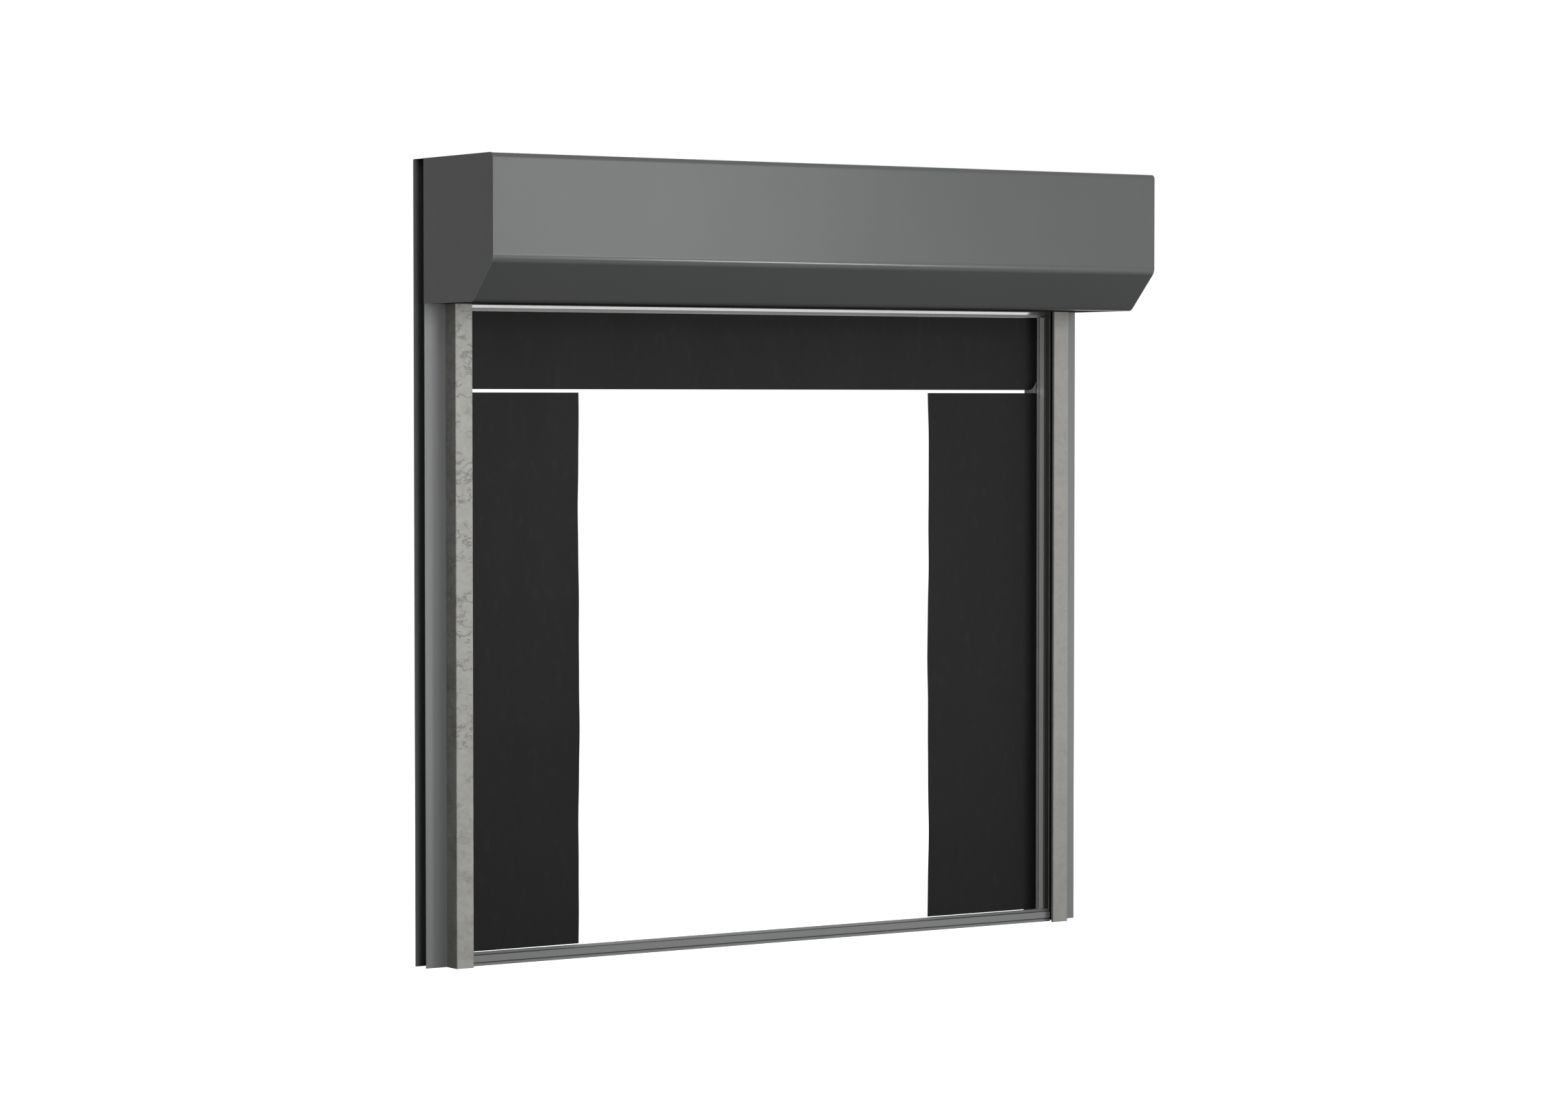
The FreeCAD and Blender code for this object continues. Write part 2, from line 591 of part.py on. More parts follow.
def slat_bar(tail, half_length):
    """One hollow slat along X, hung by its bead from the origin and tail long.
    The hook at its foot opens downwards and towards the roller; an end slat has none."""
    half = size("slat_thickness/2")
    pitch = size("slat_pitch")
    bead = size("bead_radius")
    bore = (bead + size("hook_gap")) / math.cos(math.pi / COUNTS["hook_sides"])
    rim = bore + size("hook_wall")
    shoulder = rim + size("hook_wall")
    bevel = size("hook_wall")
    foot = tail if tail < pitch else pitch - bore - size("hook_wall/2")
    left = [Vector(0, -half + bevel, -shoulder), Vector(0, -half, -shoulder - bevel)]
    left_foot = [Vector(0, -half, -foot + bevel), Vector(0, -half + bevel, -foot)]
    right_foot = [Vector(0, half - bevel, -foot), Vector(0, half, -foot + bevel)]
    right = [Vector(0, half, -shoulder - bevel), Vector(0, half - bevel, -shoulder)]
    belly = Vector(0, -half - size("slat_crown"), (-shoulder - foot) / 2)
    edges = [Part.Arc(left[1], belly, left_foot[0]).toShape()]
    corners = left_foot + right_foot + right + left
    edges += [Part.LineSegment(a, b).toShape() for a, b in zip(corners, corners[1:])]
    whole = drawn(Part.Face(Part.Wire(Part.__sortEdges__(edges))), half_length)
    neck_half = size("neck_width/2")
    neck = outline([(-neck_half, -shoulder - bevel), (neck_half, -shoulder - bevel), (neck_half, 0), (-neck_half, 0)])
    whole = whole.fuse([drawn(neck, half_length), drawn(disc(bead, 0), half_length)])
    if tail >= pitch:
        mouth = [(0, -pitch)]
        for angle in (-COUNTS["mouth_back"], COUNTS["mouth_front"] / 3, COUNTS["mouth_front"]):
            turn = math.radians(angle)
            mouth.append((-4 * rim * math.sin(turn), -pitch - 4 * rim * math.cos(turn)))
        hook = drawn(disc(rim, -pitch), half_length).cut(drawn(outline(mouth), half_length))
        whole = whole.fuse(hook).cut(drawn(disc(bore, -pitch), half_length))
    inside = half - size("slat_wall")
    top, low = -shoulder - bevel, -foot + bevel
    hollow = outline([(-inside, low), (inside, low), (inside, top), (-inside, top)])
    return whole.cut(drawn(hollow, half_length)).removeSplitter().Solids[0]


def outline(points):
    """A flat face in the YZ plane inside the given corners."""
    corners = [Vector(0, y, z) for y, z in points]
    return Part.Face(Part.makePolygon(corners + corners[:1]))


def flats():
    """Angles of the corners of a hook or a bead, in radians."""
    sides = COUNTS["hook_sides"]
    return [2 * math.pi * (side + 0.5) / sides for side in range(sides)]


def disc(radius, height):
    """A face in the YZ plane with as many flats as the hooks and beads have."""
    return outline([(radius * math.sin(turn), height + radius * math.cos(turn)) for turn in flats()])


def drawn(face, half_length):
    """A section drawn out to both sides of the middle."""
    moved = face.translated(Vector(-half_length, 0, 0))
    return moved.extrude(Vector(2 * half_length, 0, 0))


def coil_radius(turn):
    """Distance of the curtain's line from the barrel axis after a wrap of turn radians."""
    return coil_start + size("coil_turn_pitch") * turn / (2 * math.pi)


def coil_turns(count):
    """Wrap angles of the slat hinges, one slat pitch apart along a spiral."""
    turns = [0.0]
    while len(turns) <= count:
        low, high = turns[-1], turns[-1] + math.pi / 2
        start = spiral_point(turns[-1])
        for step in range(50):
            middle = (low + high) / 2
            if (spiral_point(middle) - start).Length < size("slat_pitch"):
                low = middle
            else:
                high = middle
        turns.append(low)
    return turns


def spiral_point(turn):
    """Hinge place for a wrap angle, before the coil is turned to meet the curtain."""
    radius = coil_radius(turn)
    return Vector(0, radius * math.cos(turn), -radius * math.sin(turn))


def make_wound_slats():
    """Slats hooked together in a spiral on the barrel; the next slat would hang straight down."""
    solid = slat_bar(size("slat_pitch"), size(RUN_BASE + " - slat_side_gap"))
    centre = Vector(0, size("0 - curtain_setback - coil_reach"), size(AXIS_Z))
    unturn = Rotation(along_x, math.degrees(hinge_turns[-1]))
    slats = []
    for turn, following in zip(hinge_turns[:-2], hinge_turns[1:-1]):
        start = unturn.multVec(spiral_point(turn))
        down = unturn.multVec(spiral_point(following)) - start
        down.normalize()
        outward = along_x.cross(down)
        seat = Matrix(along_x.x, outward.x, -down.x, 0, along_x.y, outward.y, -down.y, 0,
                      along_x.z, outward.z, -down.z, 0, 0, 0, 0, 1)
        placed = solid.copy()
        placed.Placement = Placement(centre + start, Rotation(seat))
        slats.append(placed)
    return [formed("wound_slats", Part.makeCompound(slats)), make_straps(centre, unturn)]


def make_straps(centre, unturn):
    """Hangers on the barrel tube: an arm and a hook that holds the first slat's bead."""
    width = size("strap_width")
    bore = (size("bead_radius") + size("hook_gap")) / math.cos(math.pi / COUNTS["hook_sides"])
    rim = bore + size("hook_wall")
    reach = spiral_point(0).Length
    chord = spiral_point(hinge_turns[1]) - spiral_point(0)
    lean = math.atan2(-chord.y, -chord.z)
    mouth = [(reach, 0)]
    mouth += [(reach - 4 * rim * math.sin(turn), -4 * rim * math.cos(turn)) for turn in (0, lean, 2 * lean)]
    thin = size("hook_wall")
    arm = outline([(0, -thin), (reach, -thin), (reach, rim), (0, rim)])
    ring, eye = [outline([(reach + radius * math.sin(turn), radius * math.cos(turn)) for turn in flats()])
                 for radius in (rim, bore)]
    hanger = arm.extrude(along_x * width).fuse(ring.extrude(along_x * width))
    for tool in (outline(mouth), eye):
        hanger = hanger.cut(tool.extrude(along_x * width))
    hanger = hanger.cut(Part.makeCylinder(size("barrel_radius"), width, Vector(0, 0, 0), along_x)).removeSplitter()
    hangers = []
    for x in spaced(COUNTS["straps"], size(less("strap_inset", WEB)), size(WEB + " - strap_inset")):
        placed = hanger.copy()
        placed.Placement = Placement(centre + Vector(x - width / 2, 0, 0), unturn)
        hangers.append(placed)
    return formed("curtain_straps", Part.makeCompound(hangers))


def make_hanging_curtain():
    """Lead slats and the end slat, parked in the throat, with its seal and gliders."""
    pitch = size("slat_pitch")
    slat = slat_bar(pitch, size(RUN_BASE + " - slat_side_gap"))
    hang = Vector(0, size(MIDDLE), size(AXIS_Z))
    lead = Part.makeCompound([slat.translated(hang - upward * pitch * step) for step in (1, 2)])
    glider_end = RUN_BASE + " - glider_gap"
    glider_start = glider_end + " - glider_length"
    end_slat = slat_bar(size("end_slat_height"), size(glider_start)).translated(hang - upward * pitch * 3)
    foot = "box_bottom + parking_gap + end_seal_height"
    seal_end = RUN_IN + " - end_seal_gap"
    seal = profile("end_seal", "YZ", [
        (MIDDLE + " - end_seal_width/2", foot + " - end_seal_height"),
        (MIDDLE + " + end_seal_width/2", foot + " - end_seal_height"),
        (MIDDLE + " + end_seal_width/2", foot), (MIDDLE + " - end_seal_width/2", foot),
    ], less("0", seal_end), seal_end, [("end_seal_height/2.2", [0, 1])])
    glider = block("right_glider", (glider_start, glider_end),
                   (SLOT_FRONT + " + glider_gap", SLOT_BACK + " - glider_gap"),
                   (foot, foot + " + end_slat_height - glider_head"))
    return [formed("lead_slats", lead), formed("end_slat", end_slat), seal, glider,
            mirrored(glider, "left_glider")]


def make_drive():
    """Barrel tube with end discs and stub shafts, flange bearing and slip-on gear motor."""
    axis_y = "0 - curtain_setback - coil_reach"
    tube_end = PLATE + " - barrel_end_gap"
    inside = "barrel_radius - barrel_wall"
    tube = cut("barrel_tube", rod("tube_outside", "barrel_radius", less("0", tube_end), tube_end, axis_y, AXIS_Z),
               rod("tube_bore", inside, less("0", tube_end), tube_end, axis_y, AXIS_Z))
    disc_in = tube_end + " - disc_thickness"
    stub_out = PLATE + " - bearing_depth/4"
    right_disc = cut("right_end_disc", rod("disc_blank", inside, disc_in, tube_end, axis_y, AXIS_Z),
                     rod("disc_bore", "stub_radius", disc_in, tube_end, axis_y, AXIS_Z))
    stub = rod("right_stub_shaft", "stub_radius", disc_in, stub_out, axis_y, AXIS_Z)
    half = "bearing_side/2"
    left_face = less("0", PLATE)
    housing = profile("bearing_housing", "YZ", [
        (axis_y + " - " + half, AXIS_Z + " - " + half), (axis_y + " + " + half, AXIS_Z + " - " + half),
        (axis_y + " + " + half, AXIS_Z + " + " + half), (axis_y + " - " + half, AXIS_Z + " + " + half),
    ], left_face, left_face + " + bearing_depth", [("bearing_side/8", [0, 1, 2, 3])])
    bearing_hole = rod("bearing_hole", "stub_radius + bearing_gap", left_face,
                       left_face + " + bearing_depth", axis_y, AXIS_Z)
    bearing = cut("left_bearing", housing, bearing_hole)
    box_in = PLATE + " - gearbox_width"
    casing = profile("gearbox_casing", "YZ", [
        (axis_y + " - gearbox_length/2", AXIS_Z + " - gearbox_rise/2"),
        (axis_y + " + gearbox_length/2", AXIS_Z + " - gearbox_rise/2"),
        (axis_y + " + gearbox_length/2", AXIS_Z + " + gearbox_rise/2"),
        (axis_y + " - gearbox_length/2", AXIS_Z + " + gearbox_rise/2"),
    ], box_in, PLATE, [("gearbox_length/6", [0, 1, 2, 3])])
    gear_hole = rod("gear_hole", "stub_radius + bearing_gap", box_in, PLATE, axis_y, AXIS_Z)
    gearbox = cut("gearbox", casing, gear_hole)
    motor = doc.addObject("Part::Cylinder", "drive_motor")
    motor.Label = "drive_motor"
    motor.Placement.Rotation = Rotation(along_x, 90)
    bind(motor, "Radius", "motor_radius")
    bind(motor, "Height", "motor_length")
    bind(motor, "Placement.Base.x", PLATE + " - gearbox_width/2")
    bind(motor, "Placement.Base.y", axis_y + " - gearbox_length/2")
    bind(motor, "Placement.Base.z", AXIS_Z + " + gearbox_rise/4")
    return [tube, right_disc, mirrored(right_disc, "left_end_disc"), stub,
            mirrored(stub, "left_stub_shaft"), bearing, gearbox, motor]


# The coil's own numbers follow from the sizes
coil_start = math.hypot(size("barrel_radius + coil_seat_gap + slat_thickness/2"), size("slat_pitch/2"))
hinge_turns = coil_turns(COUNTS["coil_slats"] + 1)
last_row = len(SIZES) + 1
sheet.set("A%d" % last_row, "coil_reach")
sheet.set("B%d" % last_row, str(round(coil_radius(hinge_turns[-1]), 3)))
sheet.setAlias("B%d" % last_row, "coil_reach")
doc.recompute()

# Fastener places, each shared by the fasteners and by the holes they pass
guide_places = [Vector(size(GUIDE_OUT + " - guide_back_leg/2"), size(FRONT + " - guide_sheet"), z)
                for z in spaced(COUNTS["guide_screws"], size("fastener_end"), size("box_bottom - fastener_end"))]
bolt_places = [Vector(size(PLATE + " - end_flange_width/2"), size(FRONT + " - end_plate_sheet"), z)
               for z in spaced(COUNTS["box_bolts"], size("box_bottom + fastener_end"),
                               size(BOX_TOP + " - fastener_end"))]
clamp_y = size(CLAMP_BACK + " - clamp_width/2")
side_clamp_places = [Vector(size(WEB + " + frame_sheet"), clamp_y, z)
                     for z in spaced(COUNTS["side_clamp_screws"], size("fastener_end"),
                                     size("header_bottom - fastener_end"))]
top_clamp_places = [Vector(x, clamp_y, size("header_bottom + frame_sheet"))
                    for x in spaced(COUNTS["top_clamp_screws"], size(less("fastener_end", WEB)),
                                    size(WEB + " - fastener_end"))]
screw_hole = size("screw_shank_radius + hole_gap")
guide_drill = drills("guide_drill", guide_places, into_wall, screw_hole, size("frame_sheet + guide_sheet") * 2)
bolt_drill = drills("bolt_drill", bolt_places, into_wall, size("bolt_shank_radius + hole_gap"),
                    size("frame_sheet + end_plate_sheet") * 2)
side_clamp_drill = drills("side_clamp_drill", side_clamp_places, along_x, screw_hole, size("clamp_width"))
top_clamp_drill = drills("top_clamp_drill", top_clamp_places, upward, screw_hole, size("clamp_width"))
guide_screws = fasteners("right_guide_screws", guide_places, into_wall, size("screw_head_radius"),
                         size("guide_head_height"), size("screw_shank_radius"),
                         size("frame_sheet + guide_sheet + screw_head_height"))

nodes = make_side_frames() + make_header() + make_guides() + make_runners() + make_trims()
nodes += make_flap_fixings() + make_flaps() + make_box() + make_sill()
nodes += make_wound_slats() + make_hanging_curtain() + make_drive()
nodes += [guide_screws, mirrored(guide_screws, "left_guide_screws")]
doc.recompute()

# Every object has to be sound before its pieces are written
for thing in doc.Objects:
    if "Invalid" in thing.State or "Error" in thing.State:
        raise RuntimeError("%s is in state %s" % (thing.Label, thing.State))
os.makedirs("parts", exist_ok=True)
for node in nodes:
    shape = node.Shape
    if shape.isNull() or not shape.isValid() or not shape.Solids:
        raise RuntimeError(node.Label + " has no valid solid")
    shape.exportStep("parts/%s.step" % node.Label)
print(len(nodes), "nodes written")
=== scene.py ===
# %% [markdown]
# A loading dock shutter, dressed for its portrait
#
# The real object is a steel frame on a warehouse wall. A box on top hides a wound curtain of hollow
# slats, two guides carry the curtain down, and black rubber flaps close the gap round a lorry's body.
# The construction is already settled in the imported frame, so this lesson only adds what the eye needs:
# finishes, soft rubber, the running curtain, light and a camera.

# %% Load the fixed frame
import json
from math import pi, radians

import bpy
import numpy as np
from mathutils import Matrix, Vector


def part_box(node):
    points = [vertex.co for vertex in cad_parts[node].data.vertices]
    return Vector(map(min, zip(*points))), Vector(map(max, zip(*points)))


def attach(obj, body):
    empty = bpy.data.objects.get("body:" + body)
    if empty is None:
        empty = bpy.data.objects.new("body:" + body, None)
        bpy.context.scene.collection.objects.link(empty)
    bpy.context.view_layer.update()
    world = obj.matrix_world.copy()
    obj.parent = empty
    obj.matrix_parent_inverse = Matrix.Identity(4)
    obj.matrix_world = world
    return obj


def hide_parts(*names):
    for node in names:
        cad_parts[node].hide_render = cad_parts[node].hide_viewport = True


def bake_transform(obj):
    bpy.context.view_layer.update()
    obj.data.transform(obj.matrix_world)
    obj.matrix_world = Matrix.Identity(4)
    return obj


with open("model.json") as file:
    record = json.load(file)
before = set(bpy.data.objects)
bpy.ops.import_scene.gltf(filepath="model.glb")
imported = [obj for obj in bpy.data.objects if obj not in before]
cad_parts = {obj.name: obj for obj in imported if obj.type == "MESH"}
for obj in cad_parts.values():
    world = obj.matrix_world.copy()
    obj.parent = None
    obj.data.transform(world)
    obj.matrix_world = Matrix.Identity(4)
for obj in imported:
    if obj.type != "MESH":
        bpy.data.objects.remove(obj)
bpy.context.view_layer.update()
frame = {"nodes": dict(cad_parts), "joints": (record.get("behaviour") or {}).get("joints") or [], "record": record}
nodes = frame["nodes"]
print(len(nodes), "pieces came with the frame")

# %% [markdown]
# The camera
#
# A photograph fixes the camera as firmly as a tripod does: the long edges of the box, the posts and the
# foot rail run to vanishing points that only one place and one lens can give. The camera stands almost
# 20 m away to the left, higher than a person's eyes, and looks down by two degrees. From so far away the
# posts look almost parallel, and it takes a long lens to fill the picture.

# %% Camera
CAMERA_PLACE = (-10.7138, -16.6051, 2.3791)
CAMERA_TURN = 33.21468
CAMERA_DIP = 2.00318
CAMERA_LENS = 102.888
SENSOR_WIDTH = 36.0
VIEW_REACH = 200.0

view = bpy.data.cameras.new("portrait_lens")
view.lens = CAMERA_LENS
view.sensor_width = SENSOR_WIDTH
view.clip_end = VIEW_REACH
camera = bpy.data.objects.new("portrait_camera", view)
camera.location = CAMERA_PLACE
camera.rotation_euler = (radians(90.0 - CAMERA_DIP), 0.0, radians(-CAMERA_TURN))
bpy.context.scene.collection.objects.link(camera)
bpy.context.scene.camera = camera
bpy.context.scene.view_settings.view_transform = "Standard"
print("lens", CAMERA_LENS, "mm")

# %% [markdown]
# Light and surroundings
#
# In the photograph the object stands in front of plain white, and no shadow on the ground can be read. So
# four soft lamps stand in front of it: the main one to the right, one high up and one at half height to
# the left, and a far one low down. Two more are there for one highlight each. The edge light is low and to
# the right, where the lower bend of the box mirrors it, and the low light lies near the ground and catches
# the nose of the top trim. The seventh lamp stands behind the object and serves the views of its back.
# The underside of the box stays dark, so little light comes back from the ground. The white of the
# surroundings is therefore given only to camera, mirror and glass rays, and dull surfaces get the lamps
# and a weak sky.


# %% A lamp that looks at a point
def lamp(name, place, target, watts, wide, high):
    """A soft rectangular lamp at one place, turned so that its -Z axis points at the target."""
    light = bpy.data.lights.new(name, "AREA")
    light.shape = "RECTANGLE"
    light.size = wide
    light.size_y = high
    light.energy = watts
    piece = bpy.data.objects.new(name, light)
    piece.location = place
    piece.rotation_euler = (Vector(target) - Vector(place)).to_track_quat("-Z", "Y").to_euler()
    bpy.context.scene.collection.objects.link(piece)


# Each line gives a name, the lamp's place, the point it looks at, its watts, its width and its height.
lamp("main_light", (2.4, -7.0, 3.7), (-0.2, -0.2, 2.0), 130.0, 2.8, 1.8)
lamp("left_light", (-1.7, -5.6, 5.0), (-0.3, -0.2, 2.0), 50.0, 4.4, 3.0)
lamp("side_light", (-2.6, -6.6, 2.4), (0.0, -0.2, 1.0), 115.0, 1.8, 1.8)
lamp("far_light", (1.8, -12.0, 1.6), (0.0, -0.2, 1.8), 80.0, 3.0, 2.4)
lamp("edge_light", (4.4, -7.5, 0.6), (0.0, -0.2, 2.4), 155.0, 1.3, 0.6)
lamp("low_light", (1.9, -2.1, 0.45), (1.9, -0.12, 2.76), 4.6, 4.2, 0.35)
lamp("back_light", (2.5, 8.0, 8.0), (0.0, 0.0, 1.8), 480.0, 7.0, 5.0)
print("seven lamps")


# %% White surroundings and a weak sky
WHITE = (1.0, 1.0, 1.0, 1.0)
SKY_STRENGTH = 0.15
WHITE_STRENGTH = 1.0

world = bpy.data.worlds.new("surroundings")
bpy.context.scene.world = world
world.use_nodes = True
tree = world.node_tree
tree.nodes.clear()
rays = tree.nodes.new("ShaderNodeLightPath")
either = tree.nodes.new("ShaderNodeMath")
either.operation = "MAXIMUM"
any_ray = tree.nodes.new("ShaderNodeMath")
any_ray.operation = "MAXIMUM"
sky = tree.nodes.new("ShaderNodeBackground")
sky.inputs["Color"].default_value = WHITE
sky.inputs["Strength"].default_value = SKY_STRENGTH
white = tree.nodes.new("ShaderNodeBackground")
white.inputs["Color"].default_value = WHITE
white.inputs["Strength"].default_value = WHITE_STRENGTH
blend = tree.nodes.new("ShaderNodeMixShader")
out = tree.nodes.new("ShaderNodeOutputWorld")
tree.links.new(rays.outputs["Is Camera Ray"], either.inputs[0])
tree.links.new(rays.outputs["Is Glossy Ray"], either.inputs[1])
tree.links.new(either.outputs[0], any_ray.inputs[0])
tree.links.new(rays.outputs["Is Transmission Ray"], any_ray.inputs[1])
tree.links.new(any_ray.outputs[0], blend.inputs["Fac"])
tree.links.new(sky.outputs[0], blend.inputs[1])
tree.links.new(white.outputs[0], blend.inputs[2])
tree.links.new(blend.outputs[0], out.inputs["Surface"])
print("sky strength", SKY_STRENGTH)

# %% [markdown]
# Finishes
#
# Every finish here starts from one Principled shader. Plain numbers stay on the shader's own sockets.
# What varies over a surface comes from noise on Object coordinates, measured in metres, so a pattern has
# the same grain on every piece and stays where it is when the piece moves. Colours are written as they
# look on a screen, from 0 to 1, and turned into the linear values that the shader works with.


# %% Colours and shaders
def linear(level):
    """Screen level to linear light: level / 12.92 below 0.04045, else ((level + 0.055) / 1.055) ^ 2.4."""
    level = np.asarray(level, float)
    return np.where(level <= 0.04045, level / 12.92, ((level + 0.055) / 1.055) ** 2.4)


def colour(red, green, blue):
    """A screen colour as the four linear numbers of a colour socket."""
    return tuple(float(part) for part in linear([red, green, blue])) + (1.0,)


def shader_of(material):
    """The material's Principled shader."""
    return material.node_tree.nodes["Principled BSDF"]


def finish(name, roughness, metallic=0.0, specular=0.5):
    """A new material with a Principled shader, its plain values on the shader's own sockets."""
    material = bpy.data.materials.new(name)
    material.use_nodes = True
    shader = shader_of(material)
    shader.inputs["Roughness"].default_value = roughness
    shader.inputs["Metallic"].default_value = metallic
    shader.inputs["Specular IOR Level"].default_value = specular
    return material


def feed(material, output, socket):
    """Joins an output to a socket of the material's shader."""
    material.node_tree.links.new(output, shader_of(material).inputs[socket])


print("a mid grey of 0.5 is", round(colour(0.5, 0.5, 0.5)[0], 3), "in linear light")


# %% Patterns and mixing
# A Mix node has one set of sockets for numbers and one for colours, told apart by their place in the list.
MIX_FACTOR = 0
NUMBER_FIRST, NUMBER_SECOND, NUMBER_RESULT = 2, 3, 0
COLOUR_FIRST, COLOUR_SECOND, COLOUR_RESULT = 6, 7, 2


def clouds(material, scale, stretch=(1.0, 1.0, 1.0), detail=3.0, low=0.3, high=0.7):
    """Noise on Object coordinates, scale times per metre, spread so that low gives 0 and high gives 1."""
    tree = material.node_tree
    place = tree.nodes.new("ShaderNodeTexCoord")
    mapping = tree.nodes.new("ShaderNodeMapping")
    mapping.inputs["Scale"].default_value = stretch
    noise = tree.nodes.new("ShaderNodeTexNoise")
    noise.inputs["Scale"].default_value = scale
    noise.inputs["Detail"].default_value = detail
    spread = tree.nodes.new("ShaderNodeMapRange")
    spread.inputs["From Min"].default_value = low
    spread.inputs["From Max"].default_value = high
    tree.links.new(place.outputs["Object"], mapping.inputs["Vector"])
    tree.links.new(mapping.outputs["Vector"], noise.inputs["Vector"])
    tree.links.new(noise.outputs["Fac"], spread.inputs["Value"])
    return spread.outputs["Result"]


def between(material, factor, first, second):
    """A colour that goes from first to second as factor goes from 0 to 1."""
    tree = material.node_tree
    mix = tree.nodes.new("ShaderNodeMix")
    mix.data_type = "RGBA"
    for part, place in ((first, COLOUR_FIRST), (second, COLOUR_SECOND)):
        if isinstance(part, tuple):
            mix.inputs[place].default_value = part
        else:
            tree.links.new(part, mix.inputs[place])
    tree.links.new(factor, mix.inputs[MIX_FACTOR])
    return mix.outputs[COLOUR_RESULT]


def spread_out(material, factor, low, high):
    """factor times (high minus low), plus low."""
    node = material.node_tree.nodes.new("ShaderNodeMapRange")
    node.inputs["To Min"].default_value = low
    node.inputs["To Max"].default_value = high
    material.node_tree.links.new(factor, node.inputs["Value"])
    return node.outputs["Result"]


def tinted(material, pattern, share, base, tint):
    """The base colour, with a share of the tint mixed in where the pattern is 1."""
    return between(material, spread_out(material, pattern, 0.0, share), base, tint)


def relief(material, heights, depth):
    """Bump from one or more height patterns, each laid on the one before; depth in metres."""
    tree = material.node_tree
    under = None
    for height, strength in heights:
        bump = tree.nodes.new("ShaderNodeBump")
        bump.inputs["Strength"].default_value = strength
        bump.inputs["Distance"].default_value = depth
        tree.links.new(height, bump.inputs["Height"])
        if under is not None:
            tree.links.new(under, bump.inputs["Normal"])
        under = bump.outputs["Normal"]
    feed(material, under, "Normal")


print("pattern helpers ready")


# %% Patterns by place
def along(material, axis):
    """One Object coordinate, in metres."""
    tree = material.node_tree
    place = tree.nodes.new("ShaderNodeTexCoord")
    split = tree.nodes.new("ShaderNodeSeparateXYZ")
    tree.links.new(place.outputs["Object"], split.inputs[0])
    return split.outputs[axis]


def past(material, output, edge, soft=0.0003):
    """0 below the edge and 1 above it, with a soft step on both sides."""
    node = material.node_tree.nodes.new("ShaderNodeMapRange")
    node.inputs["From Min"].default_value = edge - soft
    node.inputs["From Max"].default_value = edge + soft
    material.node_tree.links.new(output, node.inputs["Value"])
    return node.outputs["Result"]


def both(material, first, second):
    """The product of two patterns."""
    node = material.node_tree.nodes.new("ShaderNodeMath")
    node.operation = "MULTIPLY"
    material.node_tree.links.new(first, node.inputs[0])
    material.node_tree.links.new(second, node.inputs[1])
    return node.outputs[0]


def flipped(material, output):
    """One minus a pattern."""
    node = material.node_tree.nodes.new("ShaderNodeMath")
    node.operation = "SUBTRACT"
    node.inputs[0].default_value = 1.0
    material.node_tree.links.new(output, node.inputs[1])
    return node.outputs[0]


def distance_from_middle(material, output):
    """The size of a coordinate without its sign, so that left and right bars are marked alike."""
    node = material.node_tree.nodes.new("ShaderNodeMath")
    node.operation = "ABSOLUTE"
    material.node_tree.links.new(output, node.inputs[0])
    return node.outputs[0]


def band(material, output, low, high, soft=0.0003):
    """1 between two values of a coordinate and 0 outside them."""
    below_high = flipped(material, past(material, output, high, soft))
    return both(material, past(material, output, low, soft), below_high)


def so_far(material, socket):
    """The output that feeds a socket of the shader now."""
    return shader_of(material).inputs[socket].links[0].from_socket


def roughness_where(material, factor, roughness):
    """Lets Roughness go to another value where the factor is 1."""
    tree = material.node_tree
    mix = tree.nodes.new("ShaderNodeMix")
    tree.links.new(factor, mix.inputs[MIX_FACTOR])
    tree.links.new(so_far(material, "Roughness"), mix.inputs[NUMBER_FIRST])
    mix.inputs[NUMBER_SECOND].default_value = roughness
    feed(material, mix.outputs[NUMBER_RESULT], "Roughness")


print("place helpers ready")

# %% [markdown]
# Powder coat
#
# Box and frame are sheet steel with a baked powder coat. Up close it has a fine orange-peel skin. From a
# distance it is never quite even: rain and road dust leave faint clouds and short vertical streaks. The
# coat is made of two nearly equal greys mixed by slow clouds and by streaks stretched along Z. The
# underside of the box and its end plates get duller versions of it. The underside's coat is also a
# darker grey, which is painted shade.


# %% Powder coat material
def powder_coat(name, light, dark, dust, shine=0.24, roughness=(0.30, 0.32)):
    """Two greys mixed by slow clouds, then by vertical streaks of dust, over a fine orange-peel bump."""
    coat = finish(name, roughness[0], specular=shine)
    base = between(coat, clouds(coat, 1.6, detail=4.0), colour(*light), colour(*dark))
    streak = clouds(coat, 9.0, stretch=(1.0, 1.0, 0.12), detail=5.0, low=0.52, high=0.86)
    feed(coat, tinted(coat, streak, 0.14, base, colour(*dust)), "Base Color")
    feed(coat, spread_out(coat, clouds(coat, 14.0, detail=4.0), *roughness), "Roughness")
    relief(coat, [(clouds(coat, 900.0, detail=1.0, low=0.2, high=0.8), 0.05)], 0.0004)
    return coat


box_coat = powder_coat("box_coat", (0.384, 0.391, 0.387), (0.376, 0.383, 0.380), (0.42, 0.42, 0.41))
frame_coat = powder_coat("frame_coat", (0.512, 0.520, 0.516), (0.503, 0.511, 0.507), (0.55, 0.55, 0.535))
# Painted shade: the underside coat's greys are darker than the box coat's.
under_coat = powder_coat("underside_coat", (0.300, 0.305, 0.300), (0.285, 0.290, 0.285), (0.34, 0.34, 0.33),
                         shine=0.0, roughness=(0.70, 0.80))
plate_coat = powder_coat("end_plate_coat", (0.398, 0.405, 0.401), (0.390, 0.397, 0.394), (0.43, 0.43, 0.42),
                         roughness=(0.42, 0.46))
print(box_coat.name, frame_coat.name, under_coat.name, plate_coat.name)
